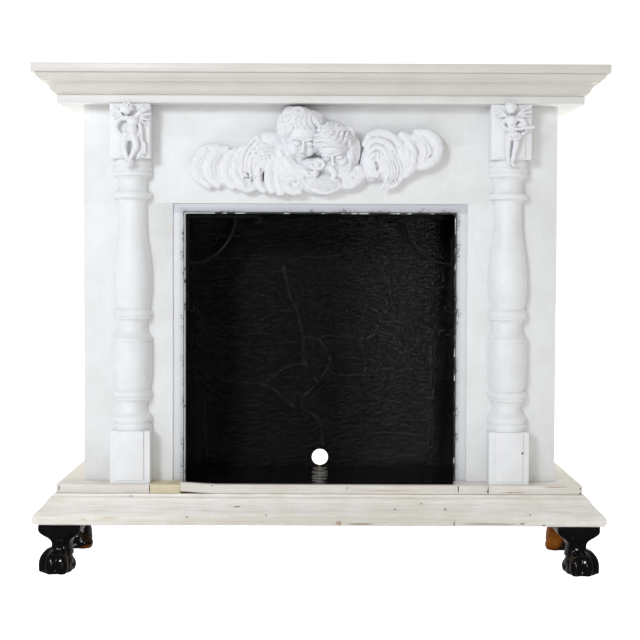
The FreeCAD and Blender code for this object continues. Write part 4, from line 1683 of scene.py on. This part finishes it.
@dataclass
class Lining:
    """The wrinkled black sheet on the back of the firebox.

    Attributes:
        low: Lowest corner in millimetres.
        high: Highest corner in millimetres.
        hole: Middle of the cable hole (x, z) in millimetres.
        hole_radius: Radius of the cable hole in millimetres.
        pitch: Size of the sheet's faces in millimetres.
    """

    low: Point
    high: Point
    hole: Spot = (1.0, 165.6)
    hole_radius: float = 15.9
    pitch: float = 2.5

    def creases(self) -> list[tuple[list[Spot], float]]:
        """Creases as seen from the front, with their heights in millimetres."""
        return [
            ([(-72, 541), (-59, 486), (-45, 453), (-33, 404), (-30, 355), (-5, 315)], 0.8),
            ([(-33, 404), (-3, 400), (20, 407), (80, 401), (100, 402), (135, 433), (188, 428),
              (224, 417), (246, 417)], 0.8),
            ([(-3, 400), (18, 369), (19, 351), (-3, 314), (-37, 278), (-31, 261), (0, 237),
              (8, 188)], 0.8),
            ([(19, 333), (50, 329), (90, 329), (119, 339), (182, 339)], 0.6),
            ([(82, 400), (90, 339)], 0.6),
            ([(-31, 351), (-62, 345), (-106, 315)], 0.6),
            ([(-251, 349), (-210, 319), (-147, 312), (-98, 304), (-52, 266)], 0.8),
            ([(-250, 335), (-210, 296), (-176, 284)], 0.5),
            ([(220, 384), (217, 227), (210, 154)], 0.7),
            ([(226, 384), (224, 260), (222, 160)], 0.6),
            ([(194, 418), (198, 394), (217, 370), (238, 418)], 0.6),
            ([(-228, 276), (-222, 150)], 0.5),
            ([(113, 557), (135, 512), (139, 492), (127, 453)], 0.5),
            ([(100, 420), (130, 395), (160, 372)], 0.4),
            ([(110, 428), (150, 400), (178, 368)], 0.4),
            ([(120, 434), (165, 414), (200, 380)], 0.4),
            ([(-220, 606), (-157, 600)], 0.5),
            ([(-186, 541), (-157, 512)], 0.5),
            ([(-240, 561), (-120, 556), (40, 562)], 0.35),
        ]

    def build(self) -> None:
        """Lay the sheet as a fine grid, ripple it, cut the hole and close its back."""
        wide = self.high[0] - self.low[0]
        tall = self.high[2] - self.low[2]
        back = self.high[1] - 0.2
        deselect()
        bpy.ops.mesh.primitive_grid_add(
            x_subdivisions=int(wide / self.pitch), y_subdivisions=int(tall / self.pitch), size=1.0,
            location=((self.low[0] + self.high[0]) / 2 * MM, (back - 1.5) * MM,
                      (self.low[2] + self.high[2]) / 2 * MM),
            rotation=(math.radians(90.0), 0.0, 0.0))
        bpy.context.object.scale = (wide * MM, tall * MM, 1.0)
        sheet = newest("wrinkled_lining")
        points = points_of(sheet)
        flat = points[:, [0, 2]]
        crease_highlight = np.zeros(len(points))
        height = np.zeros(len(points))
        for path, lift in self.creases():
            gap, along = distance_to_path(flat, smooth_path(path))
            wave = np.clip(1.0 - gap / 2.6, 0.0, 1.0) * (0.6 + 0.4 * np.sin(along * 40.0))
            height = np.maximum(height, lift * wave)
            crease_highlight = np.maximum(crease_highlight, wave * lift)
        x, z = flat.T
        swell = (0.35 * np.sin(x / 31.0 + 1.3 * np.sin(z / 47.0)) * np.sin(z / 38.0)
                 + 0.22 * np.sin(x / 13.0 + z / 29.0 + np.sin(z / 17.0)))
        edge = np.minimum.reduce([x - self.low[0], self.high[0] - x,
                                  z - self.low[2], self.high[2] - z])
        points[:, 1] -= (height + swell + 0.4) * smooth_step(0.0, 8.0, edge)
        out = np.hypot(x - self.hole[0], z - self.hole[1])
        rim = (out > self.hole_radius - self.pitch * 0.75) & (out < self.hole_radius + self.pitch * 0.75)
        share = (self.hole_radius / out[rim])[:, None]
        points[rim, 0:1] = self.hole[0] + (points[rim, 0:1] - self.hole[0]) * share
        points[rim, 2:3] = self.hole[1] + (points[rim, 2:3] - self.hole[1]) * share
        set_points(sheet, points)
        # Share of the grey painted highlight along the creases.
        attribute = sheet.data.attributes.new("crease_highlight_share", "FLOAT", "POINT")
        attribute.data.foreach_set("value", np.clip(crease_highlight, 0.0, 1.0).astype(np.float32))
        pick(sheet)
        bpy.ops.object.mode_set(mode="EDIT")
        bpy.ops.mesh.select_mode(type="VERT")
        bpy.ops.mesh.select_all(action="DESELECT")
        bpy.ops.object.mode_set(mode="OBJECT")
        for vertex, distance in zip(sheet.data.vertices, out):
            vertex.select = bool(distance <= self.hole_radius - self.pitch * 0.75)
        bpy.ops.object.mode_set(mode="EDIT")
        bpy.ops.mesh.delete(type="VERT")
        bpy.ops.object.mode_set(mode="OBJECT")
        front = points_of(sheet)
        modify(sheet, "SOLIDIFY", thickness=1.2 * MM, offset=-1.0)
        points = points_of(sheet)
        points[:len(front)] = front
        points[len(front):] = front * (1.0, 0.0, 1.0) + (0.0, back, 0.0)
        set_points(sheet, points)
        pick(sheet)
        bpy.ops.object.mode_set(mode="EDIT")
        bpy.ops.mesh.select_all(action="SELECT")
        bpy.ops.mesh.normals_make_consistent(inside=False)
        bpy.ops.object.mode_set(mode="OBJECT")
        # The third colour is the grey painted highlight along the creases.
        CrinkledBlack("wrinkled_black_sheet", "080603", "35322e", 6.5, 0.19).dress(sheet)
        seat(sheet, ["firebox_lining"], angle=60.0)


@dataclass(frozen=True)
class StudioPaper(Finish):
    """White paper lit from below as on a light table: matt, evenly bright, with soft shadows.

    Attributes:
        name: Material name.
        body: Colour.
        glow: How much light comes through it.
        shown: How bright it looks from above.
    """

    name: str
    body: str
    glow: float
    shown: float

    def lay(self, tree: Tree, shader: Node, place: Socket) -> None:
        """Build a faint paper tooth over an even glow."""
        tooth = add_node(tree, "TexNoise", {"Scale": 1.0 / (3.0 * MM)}, {"Vector": place})
        bump = add_node(tree, "Bump", {"Strength": 0.1, "Distance": 0.1 * MM},
                        {"Height": tooth.outputs["Fac"]})
        tree.links.new(bump.outputs["Normal"], shader.inputs["Normal"])
        shader.inputs["Base Color"].default_value = srgb(self.body)
        shader.inputs["Roughness"].default_value = 0.9
        ray = add_node(tree, "LightPath")
        light = add_node(tree, "Mix", {"data_type": "FLOAT", 2: self.glow, 3: self.shown},
                         {0: ray.outputs["Is Camera Ray"]})
        tree.links.new(light.outputs[0], shader.inputs["Emission Strength"])
        shader.inputs["Emission Color"].default_value = srgb("ffffff")


# ---------------------------------------------------------------- sub-assemblies


SIDES = {"left": -1, "right": 1}


def set_board(node: str, ease: float, finish: Finish, angle: float = 40.0) -> None:
    """Ease a board's edges, dress it and seat it where its CAD node stands.

    Args:
        node: The board's CAD node.
        ease: Width of the eased edge in millimetres.
        finish: What it is painted or coated with.
        angle: Edges flatter than this many degrees are shaded smooth.
    """
    board = eased_copy(node, ease)
    finish.dress(board)
    seat(board, [node], angle=angle)


@dataclass
class ShelfAndCornice:
    """The shelf board, the mitred cornice under it and the flat soffit strip.

    Attributes:
        ease: Width of the eased edges in millimetres.
    """

    ease: float = 0.9
    shelf_paint: Finish = BrushedPaint(
        "satin_cream_shelf_paint", body="dedbd4", thin="d9d6cf", streak="ccc8bc",
        grain=Grain.ACROSS, relief=0.10, roughness=0.38, patch=70.0)
    cornice_paint: Finish = BrushedPaint(
        "satin_cream_cornice_paint", body="dcd9d1", thin="d7d4cc", streak="cac7bc",
        grain=Grain.ACROSS, relief=0.08, roughness=0.42, patch=60.0, streak_share=0.2)
    soffit_paint: Finish = BrushedPaint(
        "satin_white_soffit_paint", body="e4e3e1", thin="e0dfdc", streak="d4d2ca",
        grain=Grain.ACROSS, relief=0.10, roughness=0.45)

    def build(self) -> None:
        """Ease the edges of the shelf, cornice and soffit and paint them cream."""
        set_board("shelf_board", self.ease, self.shelf_paint)
        for run in ("front", "left", "right"):
            set_board("cornice_" + run, self.ease * 0.6, self.cornice_paint)
            set_board("soffit_" + run, self.ease, self.soffit_paint)


@dataclass
class Surround:
    """The frieze board, the two leg boards, the side panels and the slip round the opening.

    Attributes:
        half_opening: Half width of the opening in millimetres.
        opening_top: Height of the opening's top in millimetres.
        ease: Width of the eased edges in millimetres.
        face_paint: Paint of the boards.
    """

    half_opening: float = 243.0
    opening_top: float = 638.0
    ease: float = 0.8
    face_paint: Finish = BrushedPaint(
        "satin_white_surround_paint", body="ebecec", thin="e4e5e4", streak="d7d9d5",
        grain=Grain.UP, relief=0.07, roughness=0.5, patch=60.0, streak_share=0.22)

    def build(self) -> None:
        """Ease and paint the boards."""
        boards = ["frieze_board"]
        for side in SIDES:
            boards += ["leg_board_" + side, "side_panel_" + side]
        for node in boards:
            set_board(node, self.ease, self.face_paint)
        slip = eased_copy("opening_slip", 0.5)
        SlipPaint("satin_bluish_slip_paint", body="e2e4e8", thin="d8dadb", speck="17181a",
                  half_opening=self.half_opening, opening_top=self.opening_top).dress(slip)
        seat(slip, ["opening_slip"])


@dataclass
class HalfColumns:
    """The turned half columns, their square blocks and the thin panels on the blocks.

    Attributes:
        ease: Width of the blocks' eased edges in millimetres.
    """

    ease: float = 0.7

    def nail_holes(self) -> tuple[Mark, ...]:
        """Filled nail holes beside the turned rings and on the right plinth."""
        holes = [(-304.0, -83.0, 407.5), (-303.5, -80.0, 261.5), (361.0, -104.0, 213.0)]
        return tuple(Mark(hole, (2.4, 5.0, 2.2), "3a2a1d", ragged=0.7, soft=0.4) for hole in holes)

    def build(self) -> None:
        """Smooth the turnings, ease the blocks and paint all white."""
        paint = BrushedPaint("satin_white_column_paint", body="eeeff0", thin="e7e8e9",
                             streak="dadedd", grain=Grain.UP, relief=0.06, roughness=0.46,
                             streak_share=0.22,
                             marks=self.nail_holes())
        for side in SIDES:
            for part in ("plinth_block_", "plinth_panel_", "capital_block_", "capital_panel_"):
                set_board(part + side, self.ease, paint)
            set_board("half_column_" + side, 0.4, paint, angle=28.0)


@dataclass
class StepAndBase:
    """The step boards, the loose sill strip and the worn base moulding.

    Attributes:
        ease: Width of the boards' eased edges in millimetres.
    """

    ease: float = 1.0

    def step_marks(self) -> tuple[Mark, ...]:
        """Open joints, a nail hole and chips along the step."""
        dark = "241a12"
        return (
            Mark((-461.5, -107.0, 149.0), (1.1, 6.0, 6.0), dark, 0.4),
            Mark((-433.0, -104.0, 157.5), (9.0, 6.0, 1.6), dark, 0.4),
            Mark((-301.0, -107.0, 148.0), (0.7, 8.0, 9.0), dark, 0.3),
            Mark((299.8, -107.0, 148.0), (0.8, 8.0, 9.0), dark, 0.3),
            Mark((299.0, -108.3, 145.5), (1.8, 3.0, 1.8), dark, 0.5),
            Mark((246.5, -108.0, 149.0), (1.2, 8.0, 8.0), dark, 0.8),
            Mark((120.0, -108.3, 146.6), (60.0, 3.0, 1.0), "b98a63", 0.9, 0.6, 0.6),
            Mark((463.0, -108.0, 150.5), (1.6, 6.0, 1.8), dark, 0.6),
            Mark((463.0, -108.0, 142.5), (1.8, 6.0, 1.6), dark, 0.6),
            Mark((420.0, -108.3, 153.5), (26.0, 3.0, 0.9), "a8794e", 0.8, 0.6, 0.8),
            Mark((345.0, -108.3, 143.5), (30.0, 3.0, 0.9), "9a6b41", 0.8, 0.6, 0.8),
            Mark((50.0, -108.3, 150.6), (2.4, 3.0, 1.8), "8d8470", 0.6, 0.5, 0.8),
            Mark((-190.0, -108.3, 154.0), (2.2, 3.0, 1.4), "8a7c62", 0.6, 0.5, 0.8),
        )

    def base_marks(self) -> tuple[Mark, ...]:
        """Chips through to the wood, dents, knots and a crack along the moulding, and a greyer band
        along its whole lower front.
        """
        bare = "a4623a"
        dent = "b3ab99"
        return (
            Mark((34.0, -139.0, 96.5), (7.5, 8.0, 5.0), bare, 1.5, 0.25),
            Mark((72.0, -140.0, 94.6), (32.0, 8.0, 2.0), "6e452a", 0.8, 0.4, 0.9),
            Mark((236.0, -142.0, 97.0), (1.6, 6.0, 7.0), "54412e", 0.5, 0.4, 0.9),
            Mark((297.0, -142.0, 95.4), (62.0, 8.0, 1.1), "4a3828", 0.5, 0.4, 0.9),
            Mark((180.0, -124.0, 126.5), (2.6, 8.0, 1.6), dent, 0.7),
            Mark((221.0, -130.0, 118.0), (3.4, 8.0, 2.0), dent, 0.8),
            Mark((133.0, -130.0, 118.0), (2.6, 8.0, 2.0), dent, 0.8),
            Mark((-93.0, -141.0, 109.0), (2.0, 6.0, 2.2), dent, 0.7),
            Mark((369.0, -141.0, 110.8), (2.2, 6.0, 2.2), dent, 0.7),
            Mark((355.0, -142.0, 95.7), (5.0, 6.0, 1.6), "5d4a36", 0.8),
            Mark((393.0, -142.0, 92.8), (3.4, 6.0, 1.4), "5d4a36", 0.8),
            Mark((-231.0, -142.0, 105.5), (4.0, 6.0, 1.2), "8f8468", 0.8),
            Mark((-144.5, -129.0, 121.0), (7.0, 8.0, 0.9), "6f6450", 0.6),
            Mark((-333.0, -113.0, 135.5), (5.0, 6.0, 3.0), "c5bb9e", 0.8, 0.7, 0.8),
            Mark((-411.0, -142.0, 100.5), (7.0, 6.0, 3.2), "c7bb97", 0.9, 0.8, 0.8),
            Mark((-368.0, -142.0, 103.0), (26.0, 6.0, 5.0), "cfc297", 2.5, 0.9, 0.75),
            # A greyer band along the lower edge of the whole front.
            Mark((0.0, -144.0, 101.0), (530.0, 7.0, 13.0), "cac5b4", 1.5, 0.7, 0.62),
        )

    def build(self) -> None:
        """Paint the step, set the sill strip and paint the base moulding."""
        marks = self.step_marks()
        step_paint = BrushedPaint("worn_white_step_paint", body="e6e3de", thin="dfdbd2",
                                  streak="c9bfa6", grain=Grain.ACROSS, line=1.8, relief=0.16,
                                  roughness=0.42, streak_share=0.55, marks=marks)
        yellowed = BrushedPaint("yellowed_step_paint", body="e0d8b6", thin="d6cda9",
                                streak="b8a983", grain=Grain.ACROSS, line=1.8, relief=0.16,
                                roughness=0.42, streak_share=0.55, marks=marks)
        base_paint = BrushedPaint("worn_cream_base_paint", body="f6f4f0", thin="eeeae0",
                                  streak="ccc4b0", grain=Grain.ACROSS, line=1.7, patch=48.0,
                                  relief=0.22, roughness=0.40, streak_share=0.6,
                                  marks=self.base_marks())
        for node in ("step_strip_left", "step_strip_right", "step_infill_right",
                     "step_side_left", "step_side_right"):
            set_board(node, self.ease, step_paint)
        set_board("step_infill_left", self.ease, yellowed)
        sill = eased_copy("sill_strip", self.ease)
        pick(sill)
        bpy.ops.object.mode_set(mode="EDIT")
        bpy.ops.mesh.select_all(action="SELECT")
        bpy.ops.mesh.subdivide(number_cuts=14)
        bpy.ops.object.mode_set(mode="OBJECT")
        points = points_of(sill)
        points[:, 2] += 3.6 * smooth_step(-188.0, -244.0, points[:, 0])
        set_points(sill, points)
        step_paint.dress(sill)
        seat(sill, ["sill_strip"])
        for run in ("front", "left", "right"):
            set_board("base_moulding_" + run, 0.6, base_paint)


@dataclass
class Carcass:
    """Unpainted boards and rails behind the surround, and the steel that holds them."""

    def build(self, nodes: dict[str, Piece]) -> None:
        """Dress the carcass boards, rails, screws and dowels.

        Args:
            nodes: The CAD nodes by name.
        """
        across = BareWood("planed_softwood_across", "c9a573", "9c7345", Grain.ACROSS)
        deep = BareWood("planed_softwood_deep", "c6a26f", "976f42", Grain.DEEP)
        across.dress(nodes["back_rail"], nodes["base_board"], nodes["base_rail_front"],
                     nodes["base_rail_back"])
        deep.dress(nodes["base_rail_left"], nodes["base_rail_right"],
                   nodes["shelf_cleat_left"], nodes["shelf_cleat_right"])
        BareWood("thin_ply_back", "bd9a6c", "a07c50", Grain.UP, 6.0).dress(nodes["back_panel"])
        CoatedMetal("bright_zinc_steel", "c9ccd0", "aeb2b6", 1.0, 0.32).dress(
            nodes["column_screws"], nodes["shelf_screws"], nodes["foot_dowels"])


@dataclass
class Firebox:
    """The black lined recess with its scroll brackets."""

    def build(self, nodes: dict[str, Piece]) -> None:
        """Dress the black boards, brackets and lining.

        Args:
            nodes: The CAD nodes by name.
        """
        gloss = GlossBlack("black_gloss_firebox_paint", "25221b", 0.16, 60.0, 0.5)
        gloss.dress(nodes["firebox_side_left"], nodes["firebox_side_right"], nodes["firebox_top"])
        GlossBlack("wavy_black_hearth_gloss", "1a1917", 0.08, 24.0, 14.0, run=3.5).dress(
            nodes["hearth_board"])
        iron = CoatedMetal("black_japanned_iron", "070606", "050404", 0.0, 0.6)
        for side in SIDES:
            set_board("scroll_bracket_" + side, 0.5, iron, angle=35.0)
        iron.dress(nodes["bracket_screws"])
        low, high = (tuple(c / MM for c in corner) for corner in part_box("firebox_lining"))
        Lining(low, high).build()


# ---------------------------------------------------------------- studio


@dataclass
class Studio:
    """Pale floor, white surroundings, four area lights and the camera.

    Attributes:
        eye: Where the camera stands, in millimetres.
        lens: Its focal length in millimetres.
        dip: How far it looks down, in degrees.
        roll: How far it leans, in degrees.
        shift_up: Its upward lens shift as a share of the picture.
        key_power: Power of the soft light high on the left, in watts.
        window_power: Power of the narrow light low on the right, in watts.
        bounce_power: Power of each low light behind, in watts.
        room_light: Brightness of the room as diffuse light.
        room_gloss: Brightness of the dark room in front in reflections.
    """

    eye: Point = (0.0, -2226.0, 561.0)
    lens: float = 67.5
    dip: float = 1.6
    roll: float = 0.22
    shift_up: float = -0.0467
    key_power: float = 46.0
    window_power: float = 11.0
    bounce_power: float = 16.0
    room_light: float = 0.58
    room_gloss: float = 0.03

    def floor(self) -> None:
        """Lay a wide pale floor with rounded-off far ends."""
        deselect()
        bpy.ops.mesh.primitive_plane_add(size=24.0, location=(0.0, 0.0, 0.0))
        floor = newest("studio_floor")
        modify(floor, "BEVEL", affect="VERTICES", width=4.0, segments=8)
        StudioPaper("white_studio_paper", "f4f4f4", 0.19, 1.1).dress(floor)
        floor.visible_glossy = False

    def area_light(self, name: str, place: Point, target: Point, size: float,
                   power: float) -> Piece:
        """Hang one area light out of the camera's sight.

        Args:
            name: The light's name.
            place: Where it hangs, in metres.
            target: What it is turned to, in metres.
            size: Its width in metres.
            power: Its power in watts.

        Returns:
            The light.
        """
        deselect()
        bpy.ops.object.light_add(type="AREA", location=place)
        light = bpy.context.object
        light.name = name
        light.data.size = size
        light.data.energy = power
        aim = Vector(target) - light.location
        light.rotation_euler = aim.to_track_quat("-Z", "Y").to_euler()
        light.visible_camera = False
        return light

    def lights(self) -> None:
        """Hang the soft key light high on the left, a narrow window light low on the right and
        two low lights behind for what the white backdrop throws round the ends."""
        key = self.area_light("key_light", (-1.62, -3.0, 1.66), (0.0, -0.06, 0.5), 0.85,
                              self.key_power)
        key.data.shape = "DISK"
        key.data.color = srgb("f0f4ff")[:3]
        window = self.area_light("window_light", (0.46, -3.0, 0.33), (0.0, 0.0, 0.4), 0.35,
                                 self.window_power)
        window.data.shape = "RECTANGLE"
        window.data.size_y = 0.6
        window.visible_diffuse = False
        for name, side in SIDES.items():
            bounce = self.area_light("backdrop_bounce_" + name, (side * 1.15, 0.7, 0.3),
                                     (side * 0.44, 0.0, 0.5), 0.8, self.bounce_power)
            bounce.visible_glossy = False

    def surroundings(self) -> None:
        """White to the camera and behind the object, grey as light, dark in front in reflections."""
        world = bpy.data.worlds.new("studio_room")
        bpy.context.scene.world = world
        world.use_nodes = True
        tree = world.node_tree
        tree.nodes.clear()
        ray = add_node(tree, "LightPath")
        aim = add_node(tree, "TexCoord")
        split = add_node(tree, "SeparateXYZ", links={0: aim.outputs["Generated"]})
        behind = add_node(tree, "MapRange", {"From Min": 0.3, "From Max": 0.6,
                                             "To Min": self.room_gloss, "To Max": 0.35},
                          {"Value": split.outputs["Y"]})
        level = add_node(tree, "Mix", {"data_type": "FLOAT", 2: self.room_light},
                         {0: ray.outputs["Is Glossy Ray"], 3: behind.outputs["Result"]})
        shown = add_node(tree, "Mix", {"data_type": "FLOAT", 3: 1.1},
                         {0: ray.outputs["Is Camera Ray"], 2: level.outputs[0]})
        glow = add_node(tree, "Background", {"Color": srgb("fffdf8")},
                        {"Strength": shown.outputs[0]})
        add_node(tree, "OutputWorld", links={"Surface": glow.outputs["Background"]})

    def camera(self) -> None:
        """Stand the camera in front, level with the opening and dipped a little."""
        deselect()
        bpy.ops.object.camera_add(location=[c * MM for c in self.eye])
        camera = bpy.context.object
        camera.name = "camera"
        turn = Euler((math.radians(90.0 - self.dip), 0.0, 0.0)).to_matrix()
        lean = Matrix.Rotation(math.radians(self.roll), 3, "Z")
        camera.rotation_euler = (turn @ lean).to_euler()
        camera.data.lens = self.lens
        camera.data.sensor_width = 36.0
        camera.data.shift_y = self.shift_up
        camera.data.clip_end = 60.0
        bpy.context.scene.camera = camera

    def build(self) -> None:
        """Set up the whole studio."""
        self.floor()
        self.lights()
        self.surroundings()
        self.camera()
        bpy.context.scene.view_settings.view_transform = "Standard"


def main() -> None:
    """Load the frame and build everything round it."""
    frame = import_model()
    nodes = frame["nodes"]
    deselect()
    ShelfAndCornice().build()
    Surround().build()
    HalfColumns().build()
    StepAndBase().build()
    Carcass().build(nodes)
    Firebox().build(nodes)
    ornament = CherubOrnament()
    ornament.build()
    column_x, figure_back = 337.0, -104.5
    left_figure(-column_x, figure_back).build(ornament.paint)
    right_figure(column_x, figure_back).build(ornament.paint)
    ClawFeet().build()
    Studio().build()


if __name__ == "__main__":
    logging.basicConfig(level=logging.INFO, format="%(name)s: %(message)s")
    main()
